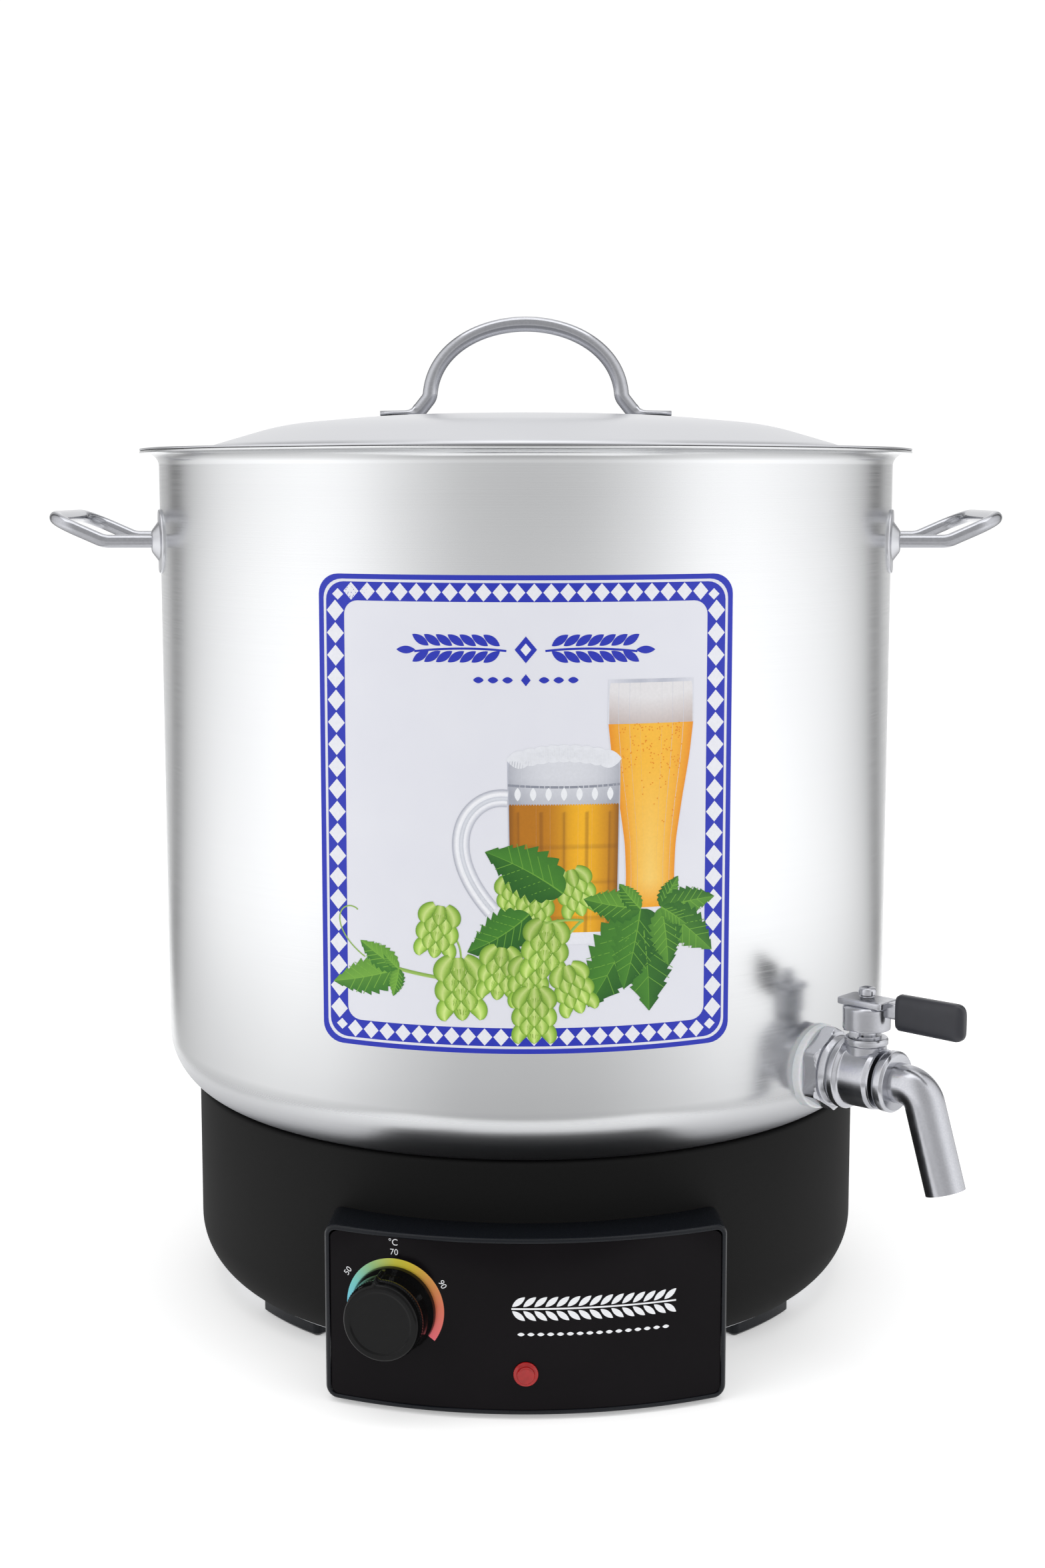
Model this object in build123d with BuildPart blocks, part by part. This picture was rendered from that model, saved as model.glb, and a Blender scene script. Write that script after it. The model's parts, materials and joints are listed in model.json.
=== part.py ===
from build123d import *
import os
from math import asin, cos, degrees, radians, sin, sqrt, tan

os.makedirs("parts", exist_ok=True)

# Electric brew kettle: a stainless pot on a heated black base, with a loose lid, two side
# handles, a ball tap and a control box whose dial sets the temperature.
# Millimetres. +Z is up, the control box faces -Y, and the origin is on the floor under the
# pot's axis. Angles round the pot count from the front, and are positive towards +X.

# ---- driving dimensions: pot ----
base_rim_z = 98.0
pot_sink = 2.0
pot_floor_z = base_rim_z - pot_sink
pot_r = 176.0
pot_depth = 306.0
pot_wall = 1.0
pot_corner_r = 28.0
rim_z = pot_floor_z + pot_depth
lip_reach = 9.0
lip_r = pot_r + lip_reach
lip_flare_r = 6.0

# ---- driving dimensions: base ----
base_inset = 14.0
base_r = pot_r - base_inset
base_wall = 3.0
base_low_z = 8.0
base_corner_r = 28.0
base_corner_rise = 22.0
base_corner_top_z = base_low_z + base_corner_rise
base_rim_fillet = 1.5
base_ledge_t = 6.0
floor_flange = 26.0
base_floor_hole_r = base_r - floor_flange
pan_inset = 13.0
pan_r = base_r - pan_inset
pan_t = 1.5
foot_inset = 1.0
foot_r = pan_r - foot_inset
foot_width = 27.0
foot_angles = (40.0, 57.0)

# ---- driving dimensions: heater ----
plate_r = 110.0
plate_t = 5.0
element_ring_r = 80.0
element_r = 4.0
stud_r = 3.0

# ---- driving dimensions: control box ----
box_reach = 38.0
box_face_r = base_r + box_reach
box_width = 170.0
box_low_z = 1.5
box_drop = 20.0
box_slope = 7.0
box_front_z = base_rim_z - box_drop
box_back_z = box_front_z - box_slope
box_wall = 2.5
box_corner_r = 5.0
bezel_side = 2.3
bezel_top = 2.4
bezel_low = 1.4
panel_t = 1.0
panel_recess = 0.8
panel_corner_r = 4.5
knob_angle = -16.0
knob_raise = 5.25
knob_z = (box_low_z + box_front_z) / 2 + knob_raise
knob_skirt_r = 18.5
knob_skirt_t = 4.0
knob_face_r = 16.0
knob_depth = 18.0
pointer_width = 2.4
shaft_r = 3.0
lamp_raise = 18.0
lamp_z = box_low_z + lamp_raise
lamp_r = 5.2

# ---- driving dimensions: tap ----
tap_angle = 48.0
tap_raise = 32.7
tap_z = pot_floor_z + tap_raise
shank_r = 10.4
gasket_r = 18.8
gasket_t = 3.0
hex_across = 33.0
hex_t = 7.0
step_r = 16.0
step_t = 3.5
ball_r = 10.5
barrel_bore_r = ball_r + 0.7
barrel_r = barrel_bore_r + 3.3
seat_far = ball_r - 1.0
hex_end = gasket_t + hex_t
step_end = hex_end + step_t
stem_s = step_end + ball_r + 1.0
barrel_end = stem_s + seat_far + 1.5
water_r = 7.0
stem_r = 4.5
boss_r = 9.0
boss_top_z = tap_z + ball_r + 7.4
hub_r = 10.7
hub_height = 13.6
hub_low_z = boss_top_z + 3.6
hub_top_z = hub_low_z + hub_height
hub_wall = 1.8
sleeve_length = 33.0
sleeve_height = 16.4
sleeve_width = 6.4
collar_r = barrel_r - 1.0
collar_t = 5.5
spout_r = 8.75
spout_wall = 1.2
spout_bend_r = 10.0
spout_fall = 73.0
spout_straight = 4.2
spout_drop = 43.7
spout_tip_z = tap_z - spout_drop

# ---- driving dimensions: lid and handles ----
lid_t = 0.8
lid_rise = 17.4
lid_top_z = rim_z + lid_rise
lid_fit = 3.6
lid_bead_r = pot_r - lid_fit
lid_bead_depth = 6.2
lid_bead_z = rim_z - lid_bead_depth
lid_bead_slope = 1.9
lid_groove = 8.4
lid_flank = 13.5
lid_flank_rise = 1.9
lid_shoulder_r = 0.6845 * lid_bead_r
lid_shoulder_drop = 4.8
lid_crown_r = 0.3828 * lid_bead_r
lid_rod_r = 3.65
arch_rise = 43.8
arch_shoulder_rise = 29.6
arch_top_half = 14.2
arch_shoulder_half = 39.8
arch_foot_half = 50.9
arch_bends = (6, 16, 50, 50, 16, 6)
lid_foot_end = 70.5
rod_r = 3.1
grip_knee_x = pot_r + 22.0
grip_x = grip_knee_x + 25.0
grip_root_z = rim_z - 42.0
grip_z = grip_root_z + 11.0
grip_half = 41.0
grip_bend_r = 14.0
grip_knee_r = 12.0
lug_r = 15.0
lug_t = 1.2
lug_boss_r = 8.0
lug_boss_h = 4.6

# ---- driving dimensions: label ----
label_half_angle = 29.5
label_low_z = pot_floor_z + 53.7
label_high_z = rim_z - 52.2
label_t = 0.25
label_corner_r = 8.5

# ---- named clearances ----
body_gap = 0.3
shaft_gap = 0.05
weld_gap = 0.05
panel_gap = 0.1
seat_gap = 0.2
thread_gap = 0.1


def write(part, name):
    """Label a finished piece and write it as its own STEP file."""
    part.label = name
    export_step(part, f"parts/{name}.step")


def radial_plane(angle, radius, height):
    """Plane facing straight out from the pot's axis, with its own Y up."""
    a = radians(angle)
    return Plane(
        origin=(radius * sin(a), -radius * cos(a), height),
        x_dir=(cos(a), sin(a), 0),
        z_dir=(sin(a), -cos(a), 0),
    )


def side_plane(angle, radius):
    """Upright plane through the pot's axis: its X runs outwards and its Y is up."""
    a = radians(angle)
    return Plane(
        origin=(radius * sin(a), -radius * cos(a), 0),
        x_dir=(sin(a), -cos(a), 0),
        z_dir=(-cos(a), -sin(a), 0),
    )


def curved_plate(inner_r, outer_r, width, low, high, corner):
    """Round-cornered plate that follows a cylinder about the pot's axis, facing the front."""
    with BuildPart() as plate:
        with BuildSketch(Plane.XY.offset(low)):
            Circle(outer_r)
            Circle(inner_r, mode=Mode.SUBTRACT)
        extrude(amount=high - low)
        with BuildSketch(Plane.XZ):
            with Locations((0, (low + high) / 2)):
                RectangleRounded(width, high - low, corner)
        extrude(amount=outer_r + 1, mode=Mode.INTERSECT)
    return plate.part


def ring(plane, start, end, outer_r, inner_r=0.0):
    """Washer, tube or disc between two distances along a plane's normal."""
    with BuildPart() as washer:
        with BuildSketch(plane.offset(start)):
            Circle(outer_r)
            if inner_r:
                Circle(inner_r, mode=Mode.SUBTRACT)
        extrude(amount=end - start)
    return washer.part


def hex_nut(plane, start, end, across, hole_r):
    """Hexagonal nut with a plain hole and its corners turned off at the outer face."""
    corner_r = across / 2 / cos(radians(30))
    with BuildPart() as nut:
        with BuildSketch(plane.offset(start)):
            RegularPolygon(corner_r, 6, rotation=30)
            Circle(hole_r, mode=Mode.SUBTRACT)
        extrude(amount=end - start)
        with BuildSketch(plane.offset(end)):
            Circle(corner_r * 0.96)
        extrude(amount=start - end, taper=-30, mode=Mode.INTERSECT)
    return nut.part


# ---- pot ----

with BuildPart() as pot_envelope:
    with BuildSketch(Plane.XZ):
        with BuildLine():
            pot_floor = Line((0, pot_floor_z), (pot_r - pot_corner_r, pot_floor_z))
            pot_corner = JernArc(pot_floor @ 1, (1, 0), pot_corner_r, 90)
            pot_side = Line(pot_corner @ 1, (pot_r, rim_z - pot_wall - lip_flare_r))
            Line(pot_side @ 1, (0, rim_z - pot_wall - lip_flare_r))
            Line((0, rim_z - pot_wall - lip_flare_r), (0, pot_floor_z))
        make_face()
    revolve(axis=Axis.Z)

tap_face = radial_plane(tap_angle, pot_r, tap_z)

with BuildPart() as pot_shell:
    with BuildSketch(Plane.XZ):
        with BuildLine():
            floor = Line((0, pot_floor_z), (pot_r - pot_corner_r, pot_floor_z))
            corner = JernArc(floor @ 1, (1, 0), pot_corner_r, 90)
            side = Line(corner @ 1, (pot_r, rim_z - pot_wall - lip_flare_r))
            flare = JernArc(side @ 1, (0, 1), lip_flare_r, -90)
            lip = Line(flare @ 1, (lip_r, rim_z - pot_wall))
            offset(amount=pot_wall, side=Side.LEFT)
        make_face()
    revolve(axis=Axis.Z)
    with BuildSketch(tap_face):
        Circle(shank_r + thread_gap)
    extrude(amount=2 * pot_corner_r, both=True, mode=Mode.SUBTRACT)
write(pot_shell.part, "pot_shell")

label_width = 2 * pot_r * sin(radians(label_half_angle))
pot_label = curved_plate(
    pot_r, pot_r + label_t, label_width, label_low_z, label_high_z, label_corner_r
)
write(pot_label, "pot_label")

# ---- side handles: a bent rod on two pressed lugs, welded to the wall each side ----

lug_angle = degrees(asin(grip_half / pot_r))
rod_root_x = sqrt(pot_r**2 - (grip_half + rod_r) ** 2) - 2


def side_rod(side):
    """Rod bent out, up and across; side is +1 for +X and -1 for -X."""
    with BuildPart() as rod:
        with BuildLine() as rod_path:
            FilletPolyline(
                (side * rod_root_x, -grip_half, grip_root_z),
                (side * grip_knee_x, -grip_half, grip_root_z),
                (side * grip_x, -grip_half, grip_z),
                (side * grip_x, grip_half, grip_z),
                (side * grip_knee_x, grip_half, grip_root_z),
                (side * rod_root_x, grip_half, grip_root_z),
                radius=(grip_knee_r, grip_bend_r, grip_bend_r, grip_knee_r),
            )
        with BuildSketch(Plane(rod_path.line @ 0, z_dir=rod_path.line % 0)):
            Circle(rod_r)
        sweep()
        add(pot_envelope.part, mode=Mode.SUBTRACT)
    return rod.part


def side_lugs(side):
    """Two round plates, domed in the middle, each with a hole for its end of the rod."""
    with BuildPart() as lugs:
        for turn in (-lug_angle, lug_angle):
            outward = side_plane(side * (90 + turn), pot_r)
            with BuildSketch(outward):
                with BuildLine():
                    Polyline(
                        (-3, grip_root_z),
                        (lug_boss_h, grip_root_z),
                        (lug_boss_h, grip_root_z + rod_r + lug_t),
                        (lug_t, grip_root_z + lug_boss_r),
                        (lug_t, grip_root_z + lug_r),
                        (-3, grip_root_z + lug_r),
                        close=True,
                    )
                make_face()
            axis_point = outward.from_local_coords((0, grip_root_z, 0))
            revolve(axis=Axis(axis_point, outward.x_dir))
        add(pot_envelope.part, mode=Mode.SUBTRACT)
        with BuildSketch(Plane.YZ):
            with Locations((-grip_half, grip_root_z), (grip_half, grip_root_z)):
                Circle(rod_r + weld_gap)
        extrude(amount=side * (pot_r + 2 * lug_r), mode=Mode.SUBTRACT)
    return lugs.part


for side_name, side_sign in (("left", -1), ("right", 1)):
    write(side_rod(side_sign), f"side_handle_{side_name}")
    write(side_lugs(side_sign), f"side_handle_lugs_{side_name}")

# ---- lid: a pressed sheet whose groove hangs inside the mouth ----

lid_rim_z = rim_z + body_gap + lid_t
lid_profile = (
    (lip_r, lid_rim_z),
    (lid_bead_r + lid_bead_slope, lid_rim_z),
    (lid_bead_r, lid_bead_z),
    (lid_bead_r - lid_groove, lid_bead_z),
    (lid_bead_r - lid_groove - lid_flank, lid_rim_z + lid_flank_rise),
    (lid_shoulder_r, lid_top_z - lid_shoulder_drop),
    (lid_crown_r, lid_top_z),
    (0, lid_top_z),
)
lid_bends = (1.6, 2.0, 3.0, 14.0, 120.0, 400.0)

with BuildPart() as lid:
    with BuildSketch(Plane.XZ):
        with BuildLine():
            FilletPolyline(*lid_profile, radius=lid_bends)
            offset(amount=lid_t, side=Side.LEFT)
        make_face()
    revolve(axis=Axis.Z)
write(lid.part, "lid")

under_lid_z = lid_bead_z - 10
with BuildPart() as lid_envelope:
    with BuildSketch(Plane.XZ):
        with BuildLine():
            FilletPolyline(*lid_profile, radius=lid_bends)
            Line((0, lid_top_z), (0, under_lid_z))
            Line((0, under_lid_z), (lip_r, under_lid_z))
            Line((lip_r, under_lid_z), (lip_r, lid_rim_z))
        make_face()
    revolve(axis=Axis.Z)

foot_t = 3.0
foot_mid_z = lid_top_z + foot_t / 2
foot_flat = 13.0
foot_half_width = 5.5
rod_end_x = lid_foot_end - foot_flat
foot_middle_x = lid_foot_end - 1 - foot_flat / 2
arch_shoulder_z = lid_top_z + arch_shoulder_rise
arch_top_z = lid_top_z + arch_rise
with BuildPart() as lid_handle:
    with BuildLine(Plane.XZ) as arch:
        FilletPolyline(
            (-rod_end_x, foot_mid_z),
            (-arch_foot_half, foot_mid_z),
            (-arch_shoulder_half, arch_shoulder_z),
            (-arch_top_half, arch_top_z),
            (arch_top_half, arch_top_z),
            (arch_shoulder_half, arch_shoulder_z),
            (arch_foot_half, foot_mid_z),
            (rod_end_x, foot_mid_z),
            radius=arch_bends,
        )
    with BuildSketch(Plane(arch.line @ 0, z_dir=arch.line % 0)):
        Circle(lid_rod_r)
    sweep(path=arch.line)
    with BuildSketch(Plane.XY.offset(lid_top_z - foot_t)):
        with Locations((foot_middle_x, 0), (-foot_middle_x, 0)):
            SlotOverall(foot_flat + 2, 2 * foot_half_width)
    extrude(amount=2 * foot_t)
    add(lid_envelope.part, mode=Mode.SUBTRACT)
write(lid_handle.part, "lid_handle")

# ---- base housing: a moulded skirt with a ledge under the pot and an open floor ----

corner_centre_r = base_r - base_corner_r
base_edge_r = corner_centre_r + sqrt(base_corner_r**2 - base_corner_rise**2)
inner_corner_r = base_corner_r - base_wall
inner_low_z = base_low_z + base_wall
inner_edge_r = corner_centre_r + sqrt(inner_corner_r**2 - (base_corner_top_z - inner_low_z) ** 2)
window_width = 112.0
window_low_z = knob_z - 19.0
window_high_z = knob_z + 5.0
gland_z = base_corner_top_z + 12.0
gland_r = 8.0
gland_face = radial_plane(180, base_r, gland_z)
box_screw_x = 65.9
box_screw_turn = degrees(asin(box_screw_x / base_r))
box_screw_angles = (-box_screw_turn, box_screw_turn)
box_screw_z = knob_z + 13.0
screw_r = 1.9
screw_head_r = 3.6
screw_head_t = 2.2


def skirt_outline(wall_r, edge_r, low_z, top_z, arc_r):
    """Half section of the skirt out to one of its faces: floor, big corner, wall, top."""
    with BuildSketch(Plane.XZ) as outline:
        with BuildLine():
            Line((0, low_z), (edge_r, low_z))
            RadiusArc((edge_r, low_z), (wall_r, base_corner_top_z), -arc_r)
            Line((wall_r, base_corner_top_z), (wall_r, top_z))
            Line((wall_r, top_z), (0, top_z))
            Line((0, top_z), (0, low_z))
        make_face()
    return outline.sketch


with BuildPart() as base_envelope:
    add(skirt_outline(base_r, base_edge_r, base_low_z, base_rim_z, base_corner_r))
    revolve(axis=Axis.Z)

base_inner_r = base_r - base_wall
base_inner_top_z = base_rim_z - base_ledge_t
with BuildPart() as base_hollow:
    add(skirt_outline(base_inner_r, inner_edge_r, inner_low_z, base_inner_top_z, inner_corner_r))
    revolve(axis=Axis.Z)

with BuildPart() as base_housing:
    add(base_envelope.part)
    rim_edge = base_housing.edges().filter_by(GeomType.CIRCLE).sort_by(Axis.Z)[-1]
    fillet(rim_edge, base_rim_fillet)
    add(base_hollow.part, mode=Mode.SUBTRACT)
    with BuildSketch(Plane.XY):
        Circle(base_floor_hole_r)
    extrude(amount=inner_low_z + 1, mode=Mode.SUBTRACT)
    with BuildSketch(Plane.XY.offset(base_inner_top_z - 1)):
        Circle(pot_r - pot_corner_r)
    extrude(amount=pot_corner_r, mode=Mode.SUBTRACT)
    with Locations((0, 0, -seat_gap)):
        add(pot_envelope.part, mode=Mode.SUBTRACT)
    with BuildSketch(Plane.XZ):
        with Locations((0, (window_low_z + window_high_z) / 2)):
            RectangleRounded(window_width, window_high_z - window_low_z, 4)
    extrude(amount=base_r + 1, mode=Mode.SUBTRACT)
    with BuildSketch(gland_face):
        Circle(gland_r + thread_gap)
    extrude(amount=2 * base_wall, both=True, mode=Mode.SUBTRACT)
    for angle in box_screw_angles:
        with BuildSketch(radial_plane(angle, base_r, box_screw_z)):
            Circle(screw_r + thread_gap)
        extrude(amount=2 * base_wall, both=True, mode=Mode.SUBTRACT)
write(base_housing.part, "base_housing")

# ---- floor pan and its four feet ----

pan_top = Plane.XY.offset(base_low_z)
pan_screw_ring = (base_floor_hole_r + base_edge_r) / 2 - 1
pan_screw_turn = 22.0
pan_screw_r = 1.6
pan_screw_head_t = 1.4
vent_ring_r = 60.0
vent_count = 12
vent_length = 22.0
vent_width = 4.0
with BuildPart() as bottom_pan:
    with BuildSketch(pan_top):
        Circle(pan_r)
        with PolarLocations(pan_screw_ring, 4, start_angle=pan_screw_turn):
            Circle(pan_screw_r + thread_gap, mode=Mode.SUBTRACT)
    extrude(amount=-pan_t)
    with BuildSketch(pan_top):
        with PolarLocations(vent_ring_r, vent_count):
            SlotOverall(vent_length, vent_width)
    extrude(amount=-pan_t, mode=Mode.SUBTRACT)
write(bottom_pan.part, "bottom_pan")

pan_low_z = base_low_z - pan_t
with BuildPart() as pan_screws:
    with BuildSketch(Plane.XY.offset(pan_low_z)):
        with PolarLocations(pan_screw_ring, 4, start_angle=pan_screw_turn):
            Circle(2 * pan_screw_r)
    extrude(amount=-pan_screw_head_t)
    with BuildSketch(Plane.XY.offset(pan_low_z)):
        with PolarLocations(pan_screw_ring, 4, start_angle=pan_screw_turn):
            Circle(pan_screw_r)
    extrude(amount=pan_t)
write(pan_screws.part, "pan_screws")

foot_edge_r = 1.2
foot_corner_r = 3.0
foot_inner_r = foot_r - foot_width
foot_turns = (foot_angles[0], sum(foot_angles) / 2, foot_angles[1])


def foot_point(radius, turn, x_sign, y_sign):
    """Point at a radius and an angle off the Y axis, mirrored into a quarter by the two signs."""
    a = radians(turn)
    return (x_sign * radius * sin(a), y_sign * radius * cos(a))


feet = (("front_right", 1, -1), ("front_left", -1, -1), ("rear_right", 1, 1), ("rear_left", -1, 1))
for foot_name, x_sign, y_sign in feet:
    with BuildPart() as foot:
        with BuildSketch(Plane.XY):
            with BuildLine():
                outer = [foot_point(foot_r, turn, x_sign, y_sign) for turn in foot_turns]
                inner = [foot_point(foot_inner_r, turn, x_sign, y_sign) for turn in foot_turns]
                ThreePointArc(*outer)
                Line(outer[-1], inner[-1])
                ThreePointArc(*inner)
                Line(inner[0], outer[0])
            make_face()
        extrude(amount=pan_low_z)
        fillet(foot.edges().filter_by(Axis.Z), foot_corner_r)
        chamfer(foot.faces().sort_by(Axis.Z)[0].edges(), foot_edge_r)
    write(foot.part, f"foot_{foot_name}")

# ---- heater under the pot floor ----

plate_low_z = pot_floor_z - plate_t
plate_face = Plane.XY.offset(pot_floor_z)
write(ring(plate_face, -plate_t, 0, plate_r), "heat_plate")

element_z = plate_low_z - element_r - weld_gap
element_gap_angle = 14.0
element_from = -90 + element_gap_angle
element_sweep = 360 - 2 * element_gap_angle
pin_drop = 13.0
pin_r = 2.0
pin_length = 8.0
with BuildPart() as heating_element:
    with BuildLine() as loop:
        CenterArc((0, 0, element_z), element_ring_r, element_from, element_sweep)
    with BuildSketch(Plane(loop.line @ 0, z_dir=loop.line % 0)):
        Circle(element_r)
    sweep(path=loop.line)
    for end in (loop.line @ 0, loop.line @ 1):
        with Locations(end):
            Sphere(element_r)
        with BuildSketch(Plane(end)):
            Circle(element_r)
        extrude(amount=-pin_drop)
        with BuildSketch(Plane(end).offset(-pin_drop)):
            Circle(pin_r)
        extrude(amount=-pin_length)
write(heating_element.part, "heating_element")

clamp_t = 2.0
clamp_width = 18.0
clamp_overhang = 15.0
clamp_top_z = element_z - element_r - weld_gap
with BuildPart() as element_clamp:
    with BuildSketch(Plane.XY.offset(clamp_top_z)):
        SlotOverall(2 * (element_ring_r + clamp_overhang), clamp_width)
        Circle(stud_r + thread_gap, mode=Mode.SUBTRACT)
    extrude(amount=-clamp_t)
write(element_clamp.part, "element_clamp")

nut_t = 5.0
nut_across = 10.0
clamp_low = Plane.XY.offset(clamp_top_z - clamp_t)
stud_end = clamp_top_z - clamp_t - nut_t - 2
write(ring(Plane.XY, stud_end, plate_low_z, stud_r), "clamp_stud")
write(hex_nut(clamp_low, -nut_t, 0, nut_across, stud_r + weld_gap), "clamp_nut")

cutout_y = 40.0
cutout_r = 8.0
blade_x = 3.5
blade_t = 0.8
blade_width = 6.3
blade_length = 8.0
with BuildPart() as thermal_cutout:
    with BuildSketch(Plane.XY.offset(plate_low_z)):
        with Locations((0, cutout_y)):
            Circle(cutout_r)
    extrude(amount=-cutout_r)
    with BuildSketch(Plane.XY.offset(plate_low_z - cutout_r)):
        with Locations((-blade_x, cutout_y), (blade_x, cutout_y)):
            Rectangle(blade_t, blade_width)
    extrude(amount=-blade_length)
write(thermal_cutout.part, "thermal_cutout")

# ---- control box: a shell open towards the base, screwed on from inside it ----

box_back_r = base_r + seat_gap


def box_wedge(face_r, back_r, width, low, front, back):
    """Block between two radii, cut to a width, whose top rises from back to front."""
    with BuildPart() as wedge:
        with BuildSketch(Plane.XZ):
            with BuildLine():
                Polyline((back_r, low), (face_r, low), (face_r, front), (back_r, back), close=True)
            make_face()
        revolve(axis=Axis.Z)
        with BuildSketch(Plane.XZ):
            with Locations((0, (low + front) / 2)):
                Rectangle(width, 2 * (front - low))
        extrude(amount=face_r + 1, mode=Mode.INTERSECT)
    return wedge


panel_r = box_face_r - panel_recess
panel_width = box_width - 2 * bezel_side
panel_low_z = box_low_z + bezel_low
panel_high_z = box_front_z - bezel_top
knob_face = radial_plane(knob_angle, panel_r, knob_z)
lamp_face = radial_plane(0, panel_r, lamp_z)
bush_r = 5.0
lens_stem_r = 3.8
screw_post_r = 4.5
screw_hold = 13.0

box_outer = box_wedge(box_face_r, box_back_r, box_width, box_low_z, box_front_z, box_back_z)
box_inner_face_r = panel_r - panel_t - box_wall
box_inner = box_wedge(
    box_inner_face_r,
    base_r - base_wall,
    box_width - 2 * box_wall,
    box_low_z + box_wall,
    box_front_z - box_wall,
    box_back_z - box_wall,
)
panel_seat = curved_plate(
    panel_r - panel_t - panel_gap / 2,
    box_face_r + 1,
    panel_width + 2 * panel_gap,
    panel_low_z - panel_gap,
    panel_high_z + panel_gap,
    panel_corner_r + panel_gap,
)
with BuildPart() as control_box:
    add(box_outer.part)
    fillet(control_box.edges().filter_by(Axis.Z).sort_by(Axis.Y)[:2], box_corner_r)
    add(box_inner.part, mode=Mode.SUBTRACT)
    for angle in box_screw_angles:
        with BuildSketch(radial_plane(angle, box_back_r, box_screw_z)):
            Circle(screw_post_r)
        extrude(amount=box_inner_face_r - box_back_r + 0.5)
        with BuildSketch(radial_plane(angle, box_back_r - 1, box_screw_z)):
            Circle(screw_r + thread_gap)
        extrude(amount=screw_hold, mode=Mode.SUBTRACT)
    add(base_envelope.part, mode=Mode.SUBTRACT)
    add(panel_seat, mode=Mode.SUBTRACT)
    with BuildSketch(knob_face):
        Circle(bush_r + thread_gap)
    extrude(amount=2 * box_wall, both=True, mode=Mode.SUBTRACT)
    with BuildSketch(lamp_face):
        Circle(lens_stem_r + thread_gap)
    extrude(amount=2 * box_wall, both=True, mode=Mode.SUBTRACT)
write(control_box.part, "control_box")

panel_plate = curved_plate(
    panel_r - panel_t, panel_r, panel_width, panel_low_z, panel_high_z, panel_corner_r
)
with BuildPart() as control_panel:
    add(panel_plate)
    with BuildSketch(knob_face):
        Circle(bush_r + thread_gap)
    extrude(amount=2 * panel_t, both=True, mode=Mode.SUBTRACT)
    with BuildSketch(lamp_face):
        Circle(lens_stem_r + thread_gap)
    extrude(amount=2 * panel_t, both=True, mode=Mode.SUBTRACT)
write(control_panel.part, "control_panel")

with BuildPart() as box_screws:
    for angle in box_screw_angles:
        with BuildSketch(radial_plane(angle, base_inner_r - 1, box_screw_z)):
            Circle(screw_r)
        extrude(amount=screw_hold)
        with BuildSketch(radial_plane(angle, base_inner_r - weld_gap, box_screw_z)):
            Circle(screw_head_r)
        extrude(amount=-screw_head_t)
write(box_screws.part, "box_screws")

# ---- lamp ----

lens_flange_t = 1.2
lens_dome_h = 1.6
lens_dome_r = lens_stem_r - 0.2
lens_bend_r = 1.0
lens_back = -(panel_t + box_wall + 1)
lamp_body_r = 4.5
lamp_body_t = 16.0
with BuildPart() as indicator_lens:
    with BuildSketch(lamp_face.offset(weld_gap)):
        Circle(lamp_r)
    extrude(amount=lens_flange_t)
    with BuildSketch(lamp_face.offset(lens_flange_t)):
        Circle(lens_dome_r)
    extrude(amount=lens_dome_h)
    fillet(indicator_lens.faces().sort_by(Axis.Y)[0].edges(), lens_bend_r)
    with BuildSketch(lamp_face.offset(weld_gap)):
        Circle(lens_stem_r)
    extrude(amount=lens_back)
write(indicator_lens.part, "indicator_lens")
lamp_front = lens_back - weld_gap
lamp_body = ring(lamp_face, lamp_front - lamp_body_t, lamp_front, lamp_body_r)
write(lamp_body, "indicator_lamp")

# ---- thermostat, its sensor and the knob ----

thermostat_width = 32.0
thermostat_height = box_back_z - box_low_z - 33.5
thermostat_floor = 4.0
bush_nut_across = 14.0
bush_nut_t = 2.3
wall_bulge = box_inner_face_r - sqrt(box_inner_face_r**2 - (thermostat_width / 2) ** 2)
thermostat_front = -(panel_t + box_wall + wall_bulge + seat_gap)
thermostat_depth = 22.0
thermostat_back = thermostat_front - thermostat_depth
bush_end = 2.8
with BuildPart() as thermostat_body:
    with BuildSketch(knob_face.offset(thermostat_front)):
        RectangleRounded(thermostat_width, thermostat_height, 2)
    extrude(amount=-thermostat_depth)
    with BuildSketch(knob_face.offset(thermostat_front)):
        Circle(bush_r)
    extrude(amount=bush_end - thermostat_front)
    with BuildSketch(knob_face.offset(bush_end)):
        Circle(shaft_r + shaft_gap)
    extrude(amount=thermostat_back + thermostat_floor - bush_end, mode=Mode.SUBTRACT)
write(thermostat_body.part, "thermostat_body")
bush_nut = hex_nut(
    knob_face, panel_gap, panel_gap + bush_nut_t, bush_nut_across, bush_r + weld_gap
)
write(bush_nut, "thermostat_nut")
shaft_end = knob_depth - 5
shaft_start = thermostat_back + thermostat_floor + body_gap
write(ring(knob_face, shaft_start, shaft_end, shaft_r), "thermostat_shaft")

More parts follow.
